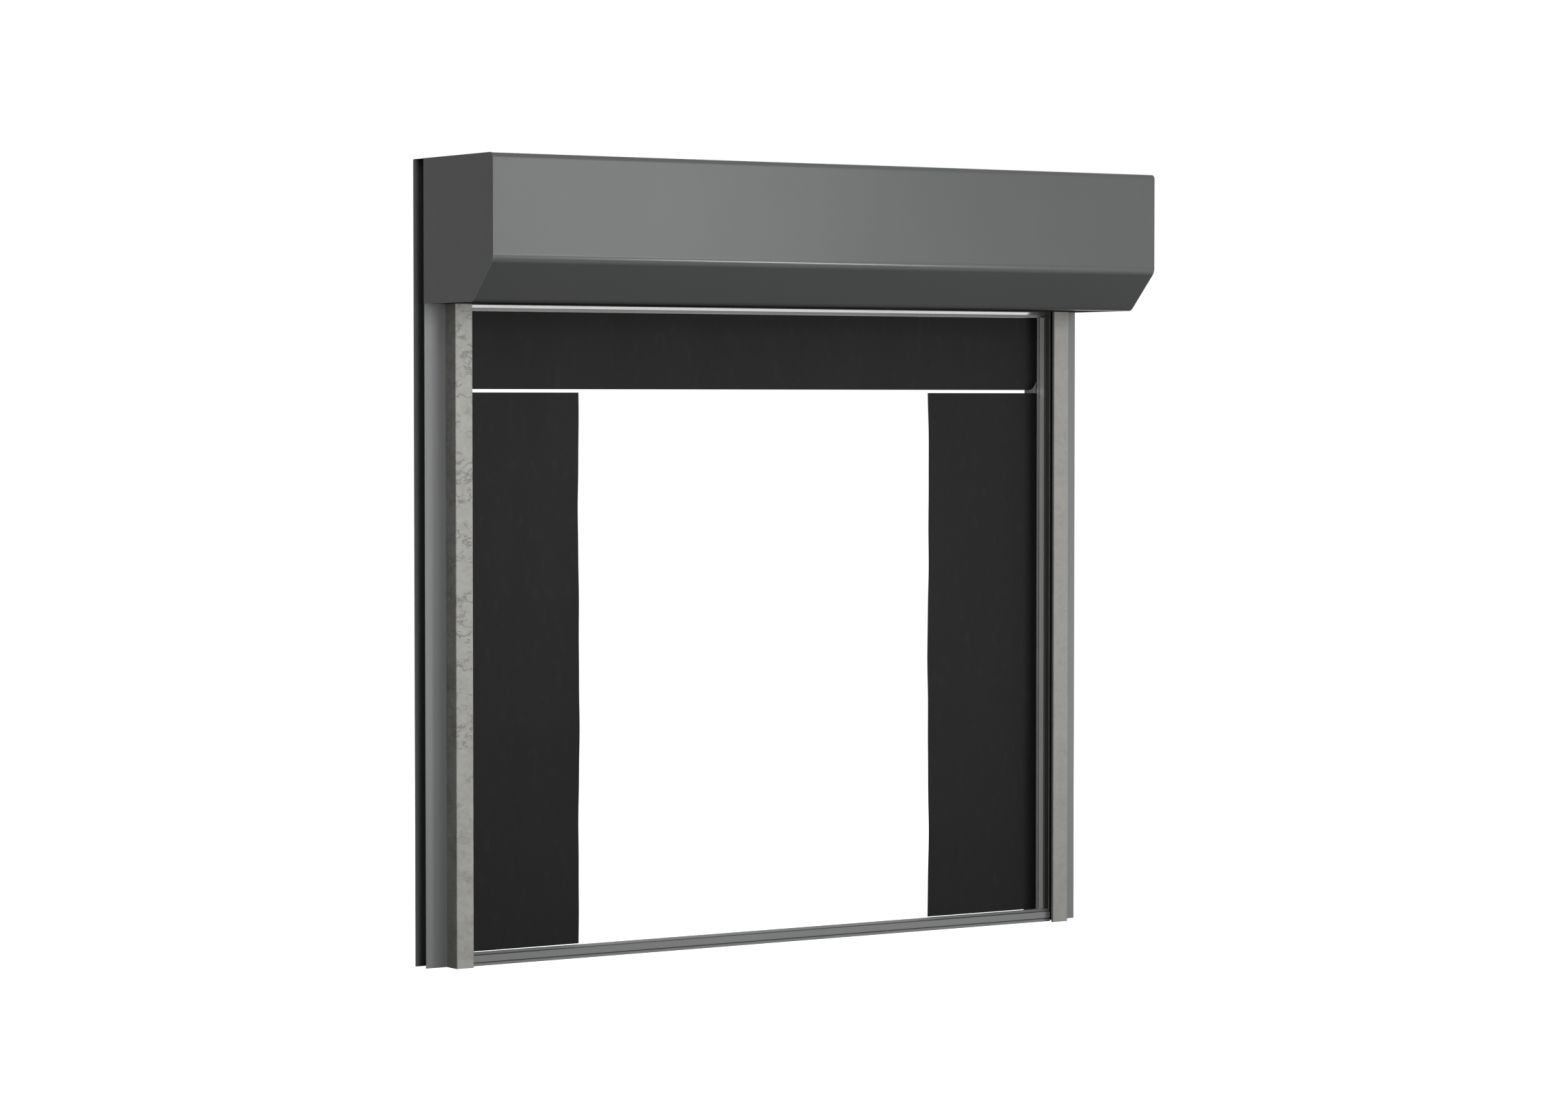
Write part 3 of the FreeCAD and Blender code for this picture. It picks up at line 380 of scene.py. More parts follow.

# %% [markdown]
# Chamfer and bend of the box
#
# Under its lower bend the front cover slopes back. In the photograph that chamfer is darker than these
# lamps make it, so painted shade darkens it, and the bend carries a thin bright line, so a strip along it
# is glossier than the rest. Both go by height and stop short of the end plates. Painting light as colour
# is a last resort, because it stays when the lamps change.

# %% Painted shade on the chamfer, gloss on the bend
CHAMFER_TALL = 0.170
COVER_MARGIN, COVER_SOFT = 0.001, 0.0005
CHAMFER_SHADE_SOFT, CHAMFER_SHADE_SHARE = 0.008, 0.28
GLOSS_BELOW, GLOSS_ABOVE, GLOSS_SOFT = 0.018, 0.022, 0.006
BEND_ROUGHNESS = 0.20

bend_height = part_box("left_end_plate")[0].z + CHAMFER_TALL
height = along(box_coat, "Z")
outward = distance_from_middle(box_coat, along(box_coat, "X"))
cover_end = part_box("front_cover")[1].x - COVER_MARGIN
cover_only = flipped(box_coat, past(box_coat, outward, cover_end, COVER_SOFT))
# Painted shade: below the bend, the front cover's colour is mixed towards near black.
below = flipped(box_coat, past(box_coat, height, bend_height - CHAMFER_SHADE_SOFT, CHAMFER_SHADE_SOFT))
chamfer_painted_shade = tinted(box_coat, both(box_coat, cover_only, below), CHAMFER_SHADE_SHARE, so_far(box_coat, "Base Color"),
                colour(0.05, 0.05, 0.05))
feed(box_coat, chamfer_painted_shade, "Base Color")
gloss = band(box_coat, height, bend_height - GLOSS_BELOW, bend_height + GLOSS_ABOVE, GLOSS_SOFT)
roughness_where(box_coat, both(box_coat, cover_only, gloss), BEND_ROUGHNESS)
print("the bend is at height", round(bend_height, 3))

# %% [markdown]
# Guide metal
#
# The guides are folded from bare zinc-coated steel. Out of doors zinc turns warm grey and blooms: the
# skin goes cloudy, with wandering hairlines where patches of bloom meet, and small darker spots. Clouds
# and spots come from noise at several scales. The hairlines are the places where one more noise passes
# through its middle value, like height lines on a map, so none of them is straight. A slower noise lets
# them show only here and there, and they are fainter low down and on the right guide, which is also
# darker in the photograph.
# That darker tone of the right guide is painted shade, for light that falls off towards the right.


# %% Hairlines
LINE_DETAIL, LINE_BREAKUP = 6.0, 0.62
NOISE_MIDDLE = 0.5


def hairlines(material, scale, stretch, width):
    """1 where a noise passes through its middle value, falling to 0 at width to either side: the line is
    1 minus the distance of the noise from its middle divided by width."""
    tree = material.node_tree
    place = tree.nodes.new("ShaderNodeTexCoord")
    mapping = tree.nodes.new("ShaderNodeMapping")
    mapping.inputs["Scale"].default_value = stretch
    noise = tree.nodes.new("ShaderNodeTexNoise")
    noise.inputs["Scale"].default_value = scale
    noise.inputs["Detail"].default_value = LINE_DETAIL
    noise.inputs["Roughness"].default_value = LINE_BREAKUP
    middle = tree.nodes.new("ShaderNodeMath")
    middle.operation = "SUBTRACT"
    middle.inputs[1].default_value = NOISE_MIDDLE
    tree.links.new(place.outputs["Object"], mapping.inputs["Vector"])
    tree.links.new(mapping.outputs["Vector"], noise.inputs["Vector"])
    tree.links.new(noise.outputs["Fac"], middle.inputs[0])
    near = tree.nodes.new("ShaderNodeMapRange")
    near.inputs["From Max"].default_value = width
    near.inputs["To Min"].default_value = 1.0
    near.inputs["To Max"].default_value = 0.0
    tree.links.new(distance_from_middle(material, middle.outputs[0]), near.inputs["Value"])
    return near.outputs["Result"]


print("hairline helper ready")

# %% Guide metal
FADE_HEIGHT, FADE_SOFT = 0.6, 0.5
SIDE_SOFT = 0.5

guide_metal = finish("guide_metal", 0.5, metallic=0.1, specular=0.3)
patches = clouds(guide_metal, 11.0, stretch=(1.0, 1.0, 0.9), detail=8.0, low=0.34, high=0.66)
bloom = clouds(guide_metal, 38.0, stretch=(1.0, 1.0, 1.3), detail=7.0, low=0.42, high=0.66)
spots = clouds(guide_metal, 75.0, detail=2.0, low=0.66, high=0.74)
where = clouds(guide_metal, 15.0, detail=2.0, low=0.40, high=0.54)
right_side = past(guide_metal, along(guide_metal, "X"), 0.0, SIDE_SOFT)
upper_part = past(guide_metal, along(guide_metal, "Z"), FADE_HEIGHT, FADE_SOFT)
cracks = both(guide_metal, hairlines(guide_metal, 15.0, (1.0, 1.0, 1.7), 0.028), where)
cracks = both(guide_metal, cracks, spread_out(guide_metal, right_side, 1.0, 0.25))
cracks = both(guide_metal, cracks, spread_out(guide_metal, upper_part, 0.35, 1.0))
warm = between(guide_metal, patches, colour(0.592, 0.587, 0.567), colour(0.672, 0.669, 0.650))
warm = tinted(guide_metal, bloom, 0.5, warm, colour(0.686, 0.683, 0.665))
# Painted shade: the right guide is mixed towards a darker grey.
warm = tinted(guide_metal, right_side, 0.45, warm, colour(0.50, 0.495, 0.48))
warm = tinted(guide_metal, spots, 0.20, warm, colour(0.47, 0.465, 0.45))
warm = tinted(guide_metal, cracks, 0.62, warm, colour(0.46, 0.455, 0.44))
feed(guide_metal, warm, "Base Color")
feed(guide_metal, spread_out(guide_metal, patches, 0.46, 0.60), "Roughness")
relief(guide_metal, [(patches, 0.4), (cracks, 0.5)], 0.0018)
print(guide_metal.name)

# %% [markdown]
# Bright trim
#
# The trim round the doorway is satin aluminium, drawn through a die, so its grain runs along each bar.
# Noise that is stretched a hundred times along the bar gives that grain. The top bar runs along X and
# the side bars along Z, so each gets its own copy with the stretch turned. The same recipe, duller and
# darker, serves the foot rail, the clamp bars and the slats.


# %% Drawn aluminium
def drawn_aluminium(name, light, dark, stretch, roughness, metallic=0.75, specular=0.5, grain=0.05,
                    wander=0.08):
    """Aluminium with fine lines along the bar: noise squeezed across it and stretched along it.
    Roughness goes by wander to either side of its middle value."""
    metal = finish(name, roughness, metallic=metallic, specular=specular)
    lines = clouds(metal, 260.0, stretch=stretch, detail=3.0, low=0.3, high=0.7)
    dull = clouds(metal, 5.0, detail=4.0, low=0.35, high=0.7)
    feed(metal, between(metal, lines, colour(*light), colour(*dark)), "Base Color")
    feed(metal, spread_out(metal, dull, roughness - wander, roughness + wander), "Roughness")
    relief(metal, [(lines, grain)], 0.0003)
    return metal


ALONG_X = (0.01, 1.0, 1.0)
ALONG_Z = (1.0, 1.0, 0.01)
trim_top = drawn_aluminium("trim_top_metal", (0.93, 0.93, 0.925), (0.91, 0.91, 0.905), ALONG_X, 0.16,
                           metallic=0.85, grain=0.0, wander=0.01)
trim_side = drawn_aluminium("trim_side_metal", (0.95, 0.945, 0.93), (0.92, 0.915, 0.90), ALONG_Z, 0.46,
                            metallic=0.1, specular=0.2, grain=0.01, wander=0.02)
rail_metal = drawn_aluminium("rail_metal", (0.527, 0.535, 0.530), (0.509, 0.517, 0.512), ALONG_X, 0.46,
                             metallic=0.0, specular=0.2)
clamp_top = drawn_aluminium("clamp_top_metal", (0.72, 0.72, 0.715), (0.66, 0.66, 0.655), ALONG_X, 0.42)
clamp_side = drawn_aluminium("clamp_side_metal", (0.80, 0.80, 0.79), (0.74, 0.74, 0.73), ALONG_Z, 0.42,
                             metallic=0.2, specular=0.3)
slat_metal = drawn_aluminium("slat_metal", (0.64, 0.64, 0.63), (0.60, 0.60, 0.59), ALONG_X, 0.46,
                             metallic=0.3, wander=0.015)
print("six drawn metals")

# %% [markdown]
# Painted shade bands on the trim and the rail
#
# In the photograph the bars fall into bands. On the top bar the flat is dull and the nose above it is
# bright. On the side bars the flat is grey, the nose is almost black, and only the return into the
# opening is bright. The foot rail has two dark lines along it, the shade of its lip and its groove. A
# smooth bar under soft lamps doesn't break up so sharply, so the dark bands are painted shade, mixed in
# by place: by height on the top bar and the rail, and by distance from the middle and depth on the side
# bars.

# %% Painted shade bands by place
TRIM_FLAT = 0.0124
CREASE_TALL, CREASE_SOFT = 0.0018, 0.0004
FLAT_ROUGHNESS = 0.50
NOSE_SOFT = 0.003
RETURN_DEPTH, RETURN_SOFT = 0.0075, 0.0006
RAIL_SHADE_LINES = ((0.0110, 0.0165), (0.0440, 0.0480))
RAIL_SHADE_SOFT, RAIL_SHADE_SHARE = 0.0008, 0.85

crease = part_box("top_trim")[0].z + TRIM_FLAT
height = along(trim_top, "Z")
on_nose = past(trim_top, height, crease)
# Painted shade: the top bar's flat below the nose is a darker grey, darker still along the crease.
flat = between(trim_top, past(trim_top, height, crease - CREASE_TALL, CREASE_SOFT),
               colour(0.45, 0.45, 0.445), colour(0.38, 0.38, 0.375))
roughness_where(trim_top, flipped(trim_top, on_nose), FLAT_ROUGHNESS)
feed(trim_top, between(trim_top, on_nose, flat, so_far(trim_top, "Base Color")), "Base Color")

trim_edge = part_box("right_trim")[0]
outward = distance_from_middle(trim_side, along(trim_side, "X"))
# Painted shade: a side bar's front is grey on the flat and near black on the nose.
front = between(trim_side, past(trim_side, outward, trim_edge.x + TRIM_FLAT - NOSE_SOFT, NOSE_SOFT),
                colour(0.42, 0.42, 0.41), colour(0.16, 0.158, 0.15))
on_return = past(trim_side, along(trim_side, "Y"), trim_edge.y + RETURN_DEPTH, RETURN_SOFT)
feed(trim_side, between(trim_side, on_return, front, so_far(trim_side, "Base Color")), "Base Color")

# Painted shade: two dark lines along the rail stand for the shade of its lip and its groove.
for low, high in RAIL_SHADE_LINES:
    line = band(rail_metal, along(rail_metal, "Z"), low, high, RAIL_SHADE_SOFT)
    rail_painted_shade = tinted(rail_metal, line, RAIL_SHADE_SHARE, so_far(rail_metal, "Base Color"),
                   colour(0.20, 0.20, 0.195))
    feed(rail_metal, rail_painted_shade, "Base Color")
print("the nose of the top trim starts at height", round(crease, 4))

# %% [markdown]
# Machine parts
#
# Inside the box are a steel tube, a cast bearing and gearbox, and a painted motor, and there are plastic
# runners and plain zinc-coated fasteners. The covers hide most of them, so they get short recipes: zinc
# with a faint spangle, cast iron with a rough skin, moulded plastic with a fine grain.

# %% Machine materials
zinc = finish("zinc", 0.42, metallic=0.85, specular=0.5)
spangle = clouds(zinc, 90.0, detail=2.0, low=0.4, high=0.6)
feed(zinc, between(zinc, spangle, colour(0.70, 0.70, 0.69), colour(0.62, 0.63, 0.63)), "Base Color")
feed(zinc, spread_out(zinc, spangle, 0.34, 0.5), "Roughness")

cast = finish("cast_housing", 0.6, specular=0.35)
pits = clouds(cast, 220.0, detail=3.0, low=0.35, high=0.65)
feed(cast, between(cast, pits, colour(0.25, 0.26, 0.28), colour(0.31, 0.32, 0.34)), "Base Color")
relief(cast, [(pits, 0.35)], 0.0006)

motor_coat = powder_coat("motor_coat", (0.20, 0.26, 0.36), (0.17, 0.22, 0.32), (0.30, 0.33, 0.38))

plastic = finish("runner_plastic", 0.5, specular=0.35)
fine = clouds(plastic, 500.0, detail=2.0)
feed(plastic, between(plastic, fine, colour(0.13, 0.13, 0.13), colour(0.16, 0.16, 0.16)), "Base Color")
relief(plastic, [(fine, 0.1)], 0.0003)
print("machine finishes ready")

# %% Put finishes on the frame's own pieces
WEARS = {
    "box_paint": box_coat, "frame_paint": frame_coat, "guide_metal": guide_metal,
    "rail_metal": rail_metal, "slat_metal": slat_metal, "runner_plastic": plastic,
    "barrel_steel": zinc, "fastener": zinc, "cast_housing": cast, "motor_paint": motor_coat,
}


def wear(piece, material):
    """Gives a piece one material on all its faces."""
    piece.data.materials.clear()
    piece.data.materials.append(material)


for part in frame["record"]["subparts"]:
    if part["material_slot"] in WEARS:
        wear(nodes[part["node"]], WEARS[part["material_slot"]])
wear(nodes["service_panel"], under_coat)
wear(nodes["left_end_plate"], plate_coat)
wear(nodes["right_end_plate"], plate_coat)
wear(nodes["top_trim"], trim_top)
wear(nodes["left_trim"], trim_side)
wear(nodes["right_trim"], trim_side)
wear(nodes["top_clamp_bar"], clamp_top)
wear(nodes["left_clamp_bar"], clamp_side)
wear(nodes["right_clamp_bar"], clamp_side)
print("frame dressed")

# %% [markdown]
# Rubber
#
# The flaps are three millimetres of black rubber on a woven core. New rubber is close to black. Weather
# gives it a grey bloom that stays in soft vertical drifts, and the weave telegraphs through as a very
# fine grain. Its shine is weak and wide. Close to the side bars of the trim the photograph shows it
# darker, so a border there, by distance from the middle of the doorway, is painted near black as the
# shadow that the trim and the clamp bar cast.

# %% Rubber material
SHADOW_BORDER_START, SHADOW_BORDER_SOFT = 1.487, 0.014

rubber = finish("flap_rubber", 0.62, specular=0.12)
drift = clouds(rubber, 3.0, stretch=(1.0, 1.0, 0.25), detail=5.0, low=0.35, high=0.72)
skin = between(rubber, drift, colour(0.096, 0.096, 0.098), colour(0.130, 0.130, 0.128))
dusty = clouds(rubber, 26.0, stretch=(1.0, 1.0, 0.5), detail=6.0, low=0.55, high=0.85)
skin = tinted(rubber, dusty, 0.18, skin, colour(0.23, 0.225, 0.215))
# Painted shadow: near the side bars the rubber is mixed towards near black.
border = past(rubber, distance_from_middle(rubber, along(rubber, "X")), SHADOW_BORDER_START, SHADOW_BORDER_SOFT)
feed(rubber, tinted(rubber, border, 0.85, skin, colour(0.030, 0.030, 0.030)), "Base Color")
feed(rubber, spread_out(rubber, drift, 0.55, 0.70), "Roughness")
relief(rubber, [(clouds(rubber, 420.0, detail=2.0), 0.12)], 0.0005)
print(rubber.name)

# %% [markdown]
# Sheets from a grid
#
# A flap is a flat sheet that has taken a gentle set. It could be simulated as cloth, but stiff rubber
# hangs almost flat and its waves are only a few millimetres deep, so a formula gives them better. The
# middle surface is a grid of points. Its normals give the two skins, and a rim closes them.


# %% A closed sheet round a grid of points
def closed_sheet(name, middle, thickness):
    """middle is a (rows, columns, 3) grid. The normal is the cross product of the two grid directions.
    One skin is the grid plus half the thickness along the normal and the other is the grid minus it.
    The rim joins the border of one skin to the border of the other."""
    down = np.gradient(middle, axis=0)
    across = np.gradient(middle, axis=1)
    normal = np.cross(across, down)
    normal /= np.linalg.norm(normal, axis=2, keepdims=True)
    rows, columns = middle.shape[:2]
    count = rows * columns
    points = np.concatenate([(middle + normal * thickness / 2).reshape(-1, 3),
                             (middle - normal * thickness / 2).reshape(-1, 3)])
    ids = np.arange(count).reshape(rows, columns)
    front = np.stack([ids[:-1, :-1], ids[1:, :-1], ids[1:, 1:], ids[:-1, 1:]], axis=-1).reshape(-1, 4)
    back = front[:, ::-1] + count
    edge = np.concatenate([ids[0, :], ids[1:, -1], ids[-1, -2::-1], ids[-2:0:-1, 0]])
    after = np.roll(edge, -1)
    rim = np.stack([edge, after, after + count, edge + count], axis=-1)
    return shell(name, points, np.concatenate([front, back, rim]).tolist())


def shell(name, points, faces, crease=35.0):
    """A mesh whose faces point outwards: its signed volume is positive, or all faces are turned."""
    mesh = bpy.data.meshes.new(name)
    mesh.from_pydata(points.tolist(), [], faces)
    mesh.update()
    mesh.calc_loop_triangles()
    corners = np.zeros(len(mesh.loop_triangles) * 3, np.int32)
    mesh.loop_triangles.foreach_get("vertices", corners)
    a, b, c = points[corners.reshape(-1, 3)].transpose(1, 0, 2)
    if np.einsum("ij,ij->i", a, np.cross(b, c)).sum() < 0:
        mesh.flip_normals()
    mesh.shade_smooth()
    mesh.set_sharp_from_angle(angle=radians(crease))
    piece = bpy.data.objects.new(name, mesh)
    bpy.context.scene.collection.objects.link(piece)
    return piece


print("sheet helper ready")

# %% [markdown]
# Side flaps
#
# Each side flap is held along its outer edge and stands out into the doorway by its own stiffness. The
# sheet has taken slow waves, deeper towards the free side. In the photograph the free edge wanders by a
# few millimetres, and a flap seen at a slant shows such waves as soft bands of light.


# %% Side flaps
RUBBER = 0.003
SIDE_ROWS, SIDE_COLUMNS = 140, 44
SIDE_BEND = 1.6


def side_flap(name, node, side, waves):
    """s runs from 0 at the root to 1 at the free edge and h is the height in metres.
    The depth is s^1.6 times a sum of sines of h, each with its own reach, waves per metre and start."""
    low, high = (np.array(corner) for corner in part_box(node))
    root = high[0] if side > 0 else low[0]
    free = low[0] if side > 0 else high[0]
    s, h = np.meshgrid(np.linspace(0.0, 1.0, SIDE_COLUMNS), np.linspace(high[2], low[2], SIDE_ROWS))
    depth = sum(reach * np.sin(2 * pi * rate * h + start) for reach, rate, start in waves)
    depth = depth * s ** SIDE_BEND
    middle = np.stack([root + (free - root) * s, (low[1] + high[1]) / 2 + depth, h], axis=-1)
    piece = closed_sheet(name, middle, RUBBER)
    wear(piece, rubber)
    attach(piece, node + "_sheet")
    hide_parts(node)


LEFT_WAVES = [(0.0042, 0.62, 0.4), (0.0022, 1.55, 1.9), (0.0008, 3.7, 0.7)]
RIGHT_WAVES = [(0.0040, 0.70, 2.6), (0.0020, 1.70, 0.3), (0.0008, 3.3, 2.0)]
side_flap("left_rubber_flap", "left_flap", -1, LEFT_WAVES)
side_flap("right_rubber_flap", "right_flap", 1, RIGHT_WAVES)

# %% [markdown]
# Top flap
#
# The top flap hangs from its upper edge over the whole doorway. Its lower right corner curls back, where
# it has been rolled by many lorries. The curl is a turn about a slanted line across that corner: points
# beyond the line move back on a circle and so also come nearer to the line. The grid is finer towards
# that corner, so that the curl stays round.


# %% Top flap
TOP_ROWS, TOP_COLUMNS = 18, 170
FINE_ROWS, FINE_COLUMNS = 18, 24
FINE_TALL, FINE_WIDE = 0.09, 0.12
CORNER_WIDE, CORNER_TALL, CORNER_CURL = 0.075, 0.066, 0.042
TOP_WAVES = [(0.0030, 0.45, 0.6), (0.0014, 1.3, 2.0)]
TOP_BEND = 1.5


def top_flap():
    """d is the depth below the clamped edge from 0 to 1 and x the place across the doorway.
    The depth of the wave is d^1.5 times a sum of sines of x. Points past the corner's line by a
    distance t are laid on a circle of radius r: t becomes r sin(t / r), and they go back by
    r (1 - cos(t / r))."""
    low, high = (np.array(corner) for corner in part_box("top_flap"))
    fine_x, fine_z = high[0] - FINE_WIDE, low[2] + FINE_TALL
    across = np.concatenate([np.linspace(low[0], fine_x, TOP_COLUMNS),
                             np.linspace(fine_x, high[0], FINE_COLUMNS + 1)[1:]])
    down = np.concatenate([np.linspace(high[2], fine_z, TOP_ROWS),
                           np.linspace(fine_z, low[2], FINE_ROWS + 1)[1:]])
    x, z = np.meshgrid(across, down)
    d = (high[2] - z) / (high[2] - low[2])
    wave = sum(reach * np.sin(2 * pi * rate * x + start) for reach, rate, start in TOP_WAVES)
    y = (low[1] + high[1]) / 2 + wave * d ** TOP_BEND
    slant = 1.0 / np.hypot(1.0 / CORNER_WIDE, 1.0 / CORNER_TALL)
    t = np.maximum(0.0, slant * (1.0 - (high[0] - x) / CORNER_WIDE - (z - low[2]) / CORNER_TALL))
    short = t - CORNER_CURL * np.sin(t / CORNER_CURL)
    x = x - short * slant / CORNER_WIDE
    z = z + short * slant / CORNER_TALL
    y = y + CORNER_CURL * (1.0 - np.cos(t / CORNER_CURL))
    middle = np.stack([x, y, z], axis=-1)
    piece = closed_sheet("top_rubber_flap", middle, RUBBER)
    wear(piece, rubber)
    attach(piece, "top_flap_sheet")
    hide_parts("top_flap")


top_flap()

# %% [markdown]
# Bars carried along a line
#
# Many pieces here are one outline carried straight along an axis: rubber edges, the seal and the slats.
# An outline is a ring of points, written once. Carrying it gives a strip of quads, and its two ends are
# closed by one face each.


# %% Carry an outline along an axis
def bar(name, outline, axis, low, high, steps=2):
    """outline is a (points, 2) ring in the plane of the other two axes, in X, Y, Z order. Ring number k
    stands at low + (high - low) k / (steps - 1) along the axis."""
    outline = np.asarray(outline, float)
    count = len(outline)
    places = np.linspace(low, high, steps)
    others = [number for number in range(3) if number != axis]
    points = np.zeros((steps, count, 3))
    points[:, :, axis] = places[:, None]
    points[:, :, others[0]] = outline[None, :, 0]
    points[:, :, others[1]] = outline[None, :, 1]
    ids = np.arange(steps * count).reshape(steps, count)
    after = np.roll(ids, -1, axis=1)
    quads = np.stack([ids[:-1], after[:-1], after[1:], ids[1:]], axis=-1).reshape(-1, 4)
    faces = quads.tolist() + [ids[0].tolist()[::-1], ids[-1].tolist()]
    return shell(name, points.reshape(-1, 3), faces)


def bent_strip(corner_path, thickness, radius, arc_points=7):
    """Outline of a strip that follows a path of three points with one rounded bend. The middle line is
    the first leg up to the tangent point, an arc of the radius, then the second leg; the outline is that
    line moved half the thickness to one side, then back along the other side."""
    a, b, c = (np.asarray(point, float) for point in corner_path)
    into = (b - a) / np.linalg.norm(b - a)
    onward = (c - b) / np.linalg.norm(c - b)
    centre = b - into * radius + onward * radius
    turn = np.linspace(0.0, pi / 2, arc_points)[:, None]
    arc = centre - onward * radius * np.cos(turn) + into * radius * np.sin(turn)
    line = np.concatenate([a[None], arc, c[None]])
    step = np.gradient(line, axis=0)
    step /= np.linalg.norm(step, axis=1, keepdims=True)
    side = np.stack([-step[:, 1], step[:, 0]], axis=1) * thickness / 2
    return np.concatenate([line + side, (line - side)[::-1]])


print("bar helper ready")

# %% [markdown]
# Rubber edges
#
# Where a flap is clamped, its rubber folds round the inside of the frame: a tab lies against the web
# under the clamp bar, and a short leg turns out into the doorway, where the hanging part starts. The
# fold is tight but round, so each edge is a bent strip carried along its side of the doorway.

# %% Rubber edges
FOLD = 0.003


def side_edge(name, node, side):
    """The strip runs from the tab's front along the web, then turns out into the doorway."""
    low, high = (np.array(corner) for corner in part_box(node))
    web = high[0] if side > 0 else low[0]
    tip = low[0] if side > 0 else high[0]
    half = RUBBER / 2
    path = [(web - side * half, low[1]), (web - side * half, high[1] - half), (tip, high[1] - half)]
    piece = bar(name, bent_strip(path, RUBBER, FOLD), 2, low[2], high[2])
    wear(piece, rubber)
    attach(piece, "wall_frame")
    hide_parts(node)


side_edge("left_rubber_edge", "left_flap_edge", -1)
side_edge("right_rubber_edge", "right_flap_edge", 1)
low, high = (np.array(corner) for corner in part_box("top_flap_edge"))
half = RUBBER / 2
path = [(low[1], high[2] - half), (high[1] - half, high[2] - half), (high[1] - half, low[2])]
top_edge = bar("top_rubber_edge", bent_strip(path, RUBBER, FOLD), 0, low[0], high[0])
wear(top_edge, rubber)
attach(top_edge, "wall_frame")
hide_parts("top_flap_edge")
print("three rubber edges")

# %% [markdown]
# The running curtain
#
# When the shutter closes, slats unhook from the coil and fill the doorway. A rigid coil can't do that,
# so the visible curtain is one piece between the frame and the lowest slat. It is worked out in the
# closed position, where its slats have their true height, and then folded back into the box: each point
# is put where a bend would carry it to its true place when the curtain is down. No bend is set up here.

# %% Slat outline
SLAT_PITCH = 0.100
SLAT_THICK = 0.018
SLAT_CROWN = 0.0016
SLAT_BEVEL = 0.0026
SHOULDER_DROP, FOOT_RISE = 0.0121, 0.0057
NECK_HALF, NECK_TOP = 0.0015, 0.003
HOOK_HALF, HOOK_TALL = 0.0068, 0.005
CROWN_POINTS = 9


def slat_outline():
    """One slat in the YZ plane, from its neck just above z = 0 down to its hook: a crowned front, a flat
    back, bevelled shoulders and a narrow neck that enters the slat above. The front stands proud by the
    crown times 4 r (1 - r), where r runs from 0 at its foot to 1 at its top."""
    half = SLAT_THICK / 2
    top, foot, bevel = -SHOULDER_DROP, -(SLAT_PITCH - FOOT_RISE), SLAT_BEVEL
    rise = np.linspace(0.0, 1.0, CROWN_POINTS)
    front_z = foot + bevel + (top - bevel - foot - bevel) * rise
    front_y = -half - SLAT_CROWN * 4 * rise * (1 - rise)
    ring = [(-half + bevel, foot)] + list(zip(front_y, front_z)) + [
        (-half + bevel, top), (-NECK_HALF, top), (-NECK_HALF, NECK_TOP), (NECK_HALF, NECK_TOP),
        (NECK_HALF, top), (half - bevel, top), (half, top - bevel), (half, foot + bevel),
        (half - bevel, foot), (HOOK_HALF, foot), (HOOK_HALF, foot - HOOK_TALL),
        (-HOOK_HALF, foot - HOOK_TALL), (-HOOK_HALF, foot)]
    return np.array(ring)


print(len(slat_outline()), "points round a slat")

# %% Where the bend starts and ends
END_NECK = 0.004
THROAT_REACH = 0.16
TABLE_POINTS = 20001

travel = [joint for joint in frame["joints"] if joint["name"] == "curtain_travel"][0]["range_m"][1]
slat_count = int((travel + THROAT_REACH) / SLAT_PITCH)
bend_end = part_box("end_slat")[1].z - END_NECK
bend_start = bend_end - travel + slat_count * SLAT_PITCH


def folded_back(height):
    """Smoothstep S(t) = 3t^2 - 2t^3 is how the bend shares the travel. A point that rests at t of the
    way down the bend comes to bend_start - length t - travel S(t); this is turned round by looking the
    height up in a fine table of t."""
    t = np.linspace(0.0, 1.0, TABLE_POINTS)
    length = bend_start - bend_end
    reached = length * t + travel * (3 * t ** 2 - 2 * t ** 3)
    return bend_start - length * np.interp(bend_start - height, reached, t)


print(slat_count, "slats run between z", round(float(bend_start), 3), "and", round(float(bend_end), 3))

# %% Curtain between the box and the lowest slat
lead_low, lead_high = (np.array(corner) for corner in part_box("lead_slats"))
ring = slat_outline()
hang = bend_end - travel + (np.arange(slat_count) + 1) * SLAT_PITCH
middle_y = (lead_low[1] + lead_high[1]) / 2 + SLAT_CROWN / 2
y = np.broadcast_to(ring[:, 0] + middle_y, (slat_count, 2, len(ring)))
z = np.broadcast_to(folded_back(np.minimum(hang[:, None] + ring[:, 1], bend_start))[:, None, :], y.shape)
x = np.broadcast_to(np.array([lead_low[0], lead_high[0]])[None, :, None], y.shape)
points = np.stack([x, y, z], axis=-1).reshape(-1, 3)
ids = np.arange(y.size).reshape(y.shape)
after = np.roll(ids, -1, axis=2)
quads = np.stack([ids[:, 0], after[:, 0], after[:, 1], ids[:, 1]], axis=-1).reshape(-1, 4)
faces = quads.tolist() + ids[:, 0, ::-1].tolist() + ids[:, 1, :].tolist()
curtain = shell("running_curtain", points, faces, crease=30.0)
wear(curtain, slat_metal)
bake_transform(curtain)
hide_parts("lead_slats")
print("curtain", round(lead_high[0] - lead_low[0], 3), "m wide,", len(faces), "faces")

# %% [markdown]
# Bottom seal
#
# Under the lowest slat sits a rubber bulb that comes down on the foot rail. Its outline is a flat top
# with a round belly below it, half an ellipse, carried along the curtain.

# %% Bottom seal
SEAL_SHOULDER = 0.004
BELLY_POINTS = 17

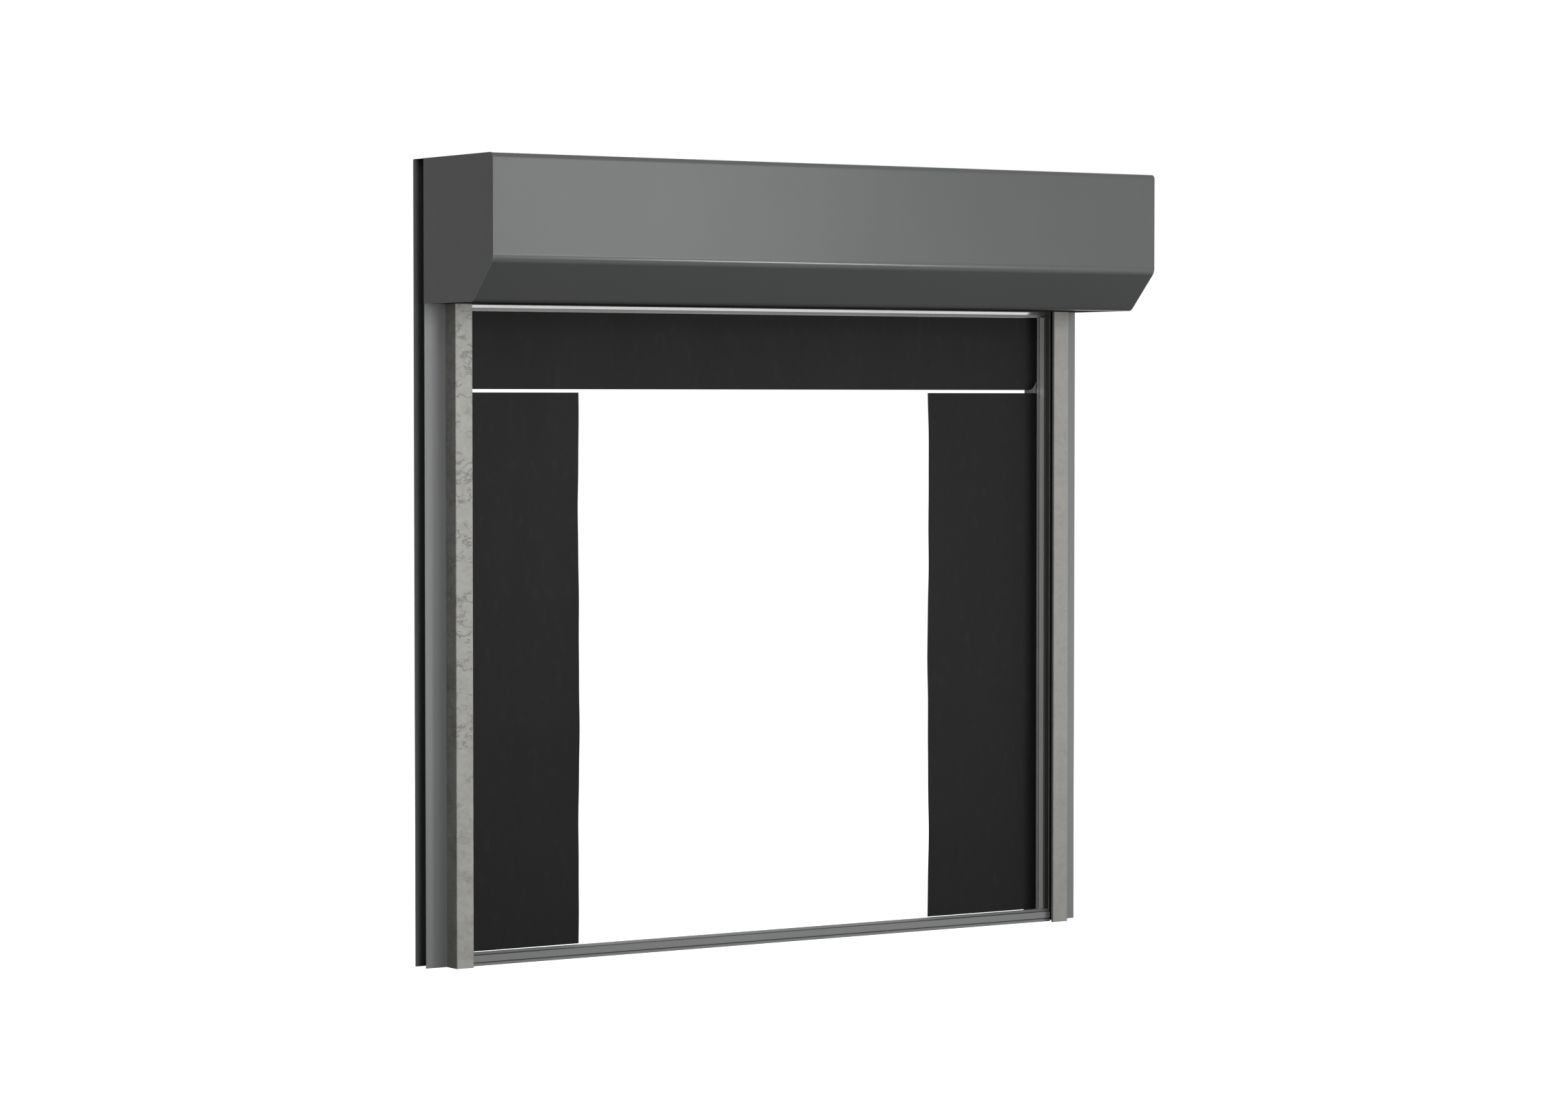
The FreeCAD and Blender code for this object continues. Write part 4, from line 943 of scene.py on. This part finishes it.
low, high = (np.array(corner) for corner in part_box("end_seal"))
turn = np.linspace(pi, 2 * pi, BELLY_POINTS)
half_width, centre_y = (high[1] - low[1]) / 2, (high[1] + low[1]) / 2
shoulder = high[2] - SEAL_SHOULDER
belly = np.stack([centre_y + half_width * np.cos(turn),
                  shoulder + (shoulder - low[2]) * np.sin(turn)], axis=1)
rim = np.array([[centre_y + half_width, high[2]], [centre_y - half_width, high[2]]])
seal = bar("bottom_rubber_seal", np.concatenate([belly, rim]), 0, low[0], high[0])
wear(seal, rubber)
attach(seal, "curtain")
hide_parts("end_seal")
print("seal", round(high[0] - low[0], 3), "m long")

# %% [markdown]
# The ground
#
# The floor is plain and pale. The camera sees it white, because it glows for camera rays, and no shadow
# of the frame shows on it. To dull surfaces the floor is a dark yard, because in the photograph hardly
# any light comes back up to the underside of the box. Mirror rays see the white only where it lies far
# enough from the doorway, with a soft step round 6.5 m, so that the chamfer, which mirrors the ground at
# its feet, stays dark.

# %% Floor
FLOOR_REACH = 60.0
MIRROR_START, MIRROR_SOFT = 6.5, 2.0
FLOOR_GLOW = 0.93

corners = [(-1.0, -1.0, 0.0), (1.0, -1.0, 0.0), (1.0, 1.0, 0.0), (-1.0, 1.0, 0.0)]
floor_mesh = bpy.data.meshes.new("floor")
floor_mesh.from_pydata((np.array(corners) * FLOOR_REACH).tolist(), [], [(0, 1, 2, 3)])
floor = bpy.data.objects.new("floor", floor_mesh)
bpy.context.scene.collection.objects.link(floor)

yard = finish("floor_white", 0.9, specular=0.0)
tree = yard.node_tree
rays = tree.nodes.new("ShaderNodeLightPath")
place = tree.nodes.new("ShaderNodeTexCoord")
away = tree.nodes.new("ShaderNodeVectorMath")
away.operation = "LENGTH"
tree.links.new(place.outputs["Object"], away.inputs[0])
far_off = past(yard, away.outputs["Value"], MIRROR_START, MIRROR_SOFT)
mirrored = both(yard, rays.outputs["Is Glossy Ray"], far_off)
seen = tree.nodes.new("ShaderNodeMath")
seen.operation = "MAXIMUM"
tree.links.new(rays.outputs["Is Camera Ray"], seen.inputs[0])
tree.links.new(mirrored, seen.inputs[1])
feed(yard, between(yard, seen.outputs[0], colour(0.28, 0.28, 0.28), colour(0.97, 0.97, 0.97)), "Base Color")
feed(yard, spread_out(yard, seen.outputs[0], 0.0, FLOOR_GLOW), "Emission Strength")
shader_of(yard).inputs["Emission Color"].default_value = WHITE
wear(floor, yard)
print("floor laid", 2 * FLOOR_REACH, "m wide")
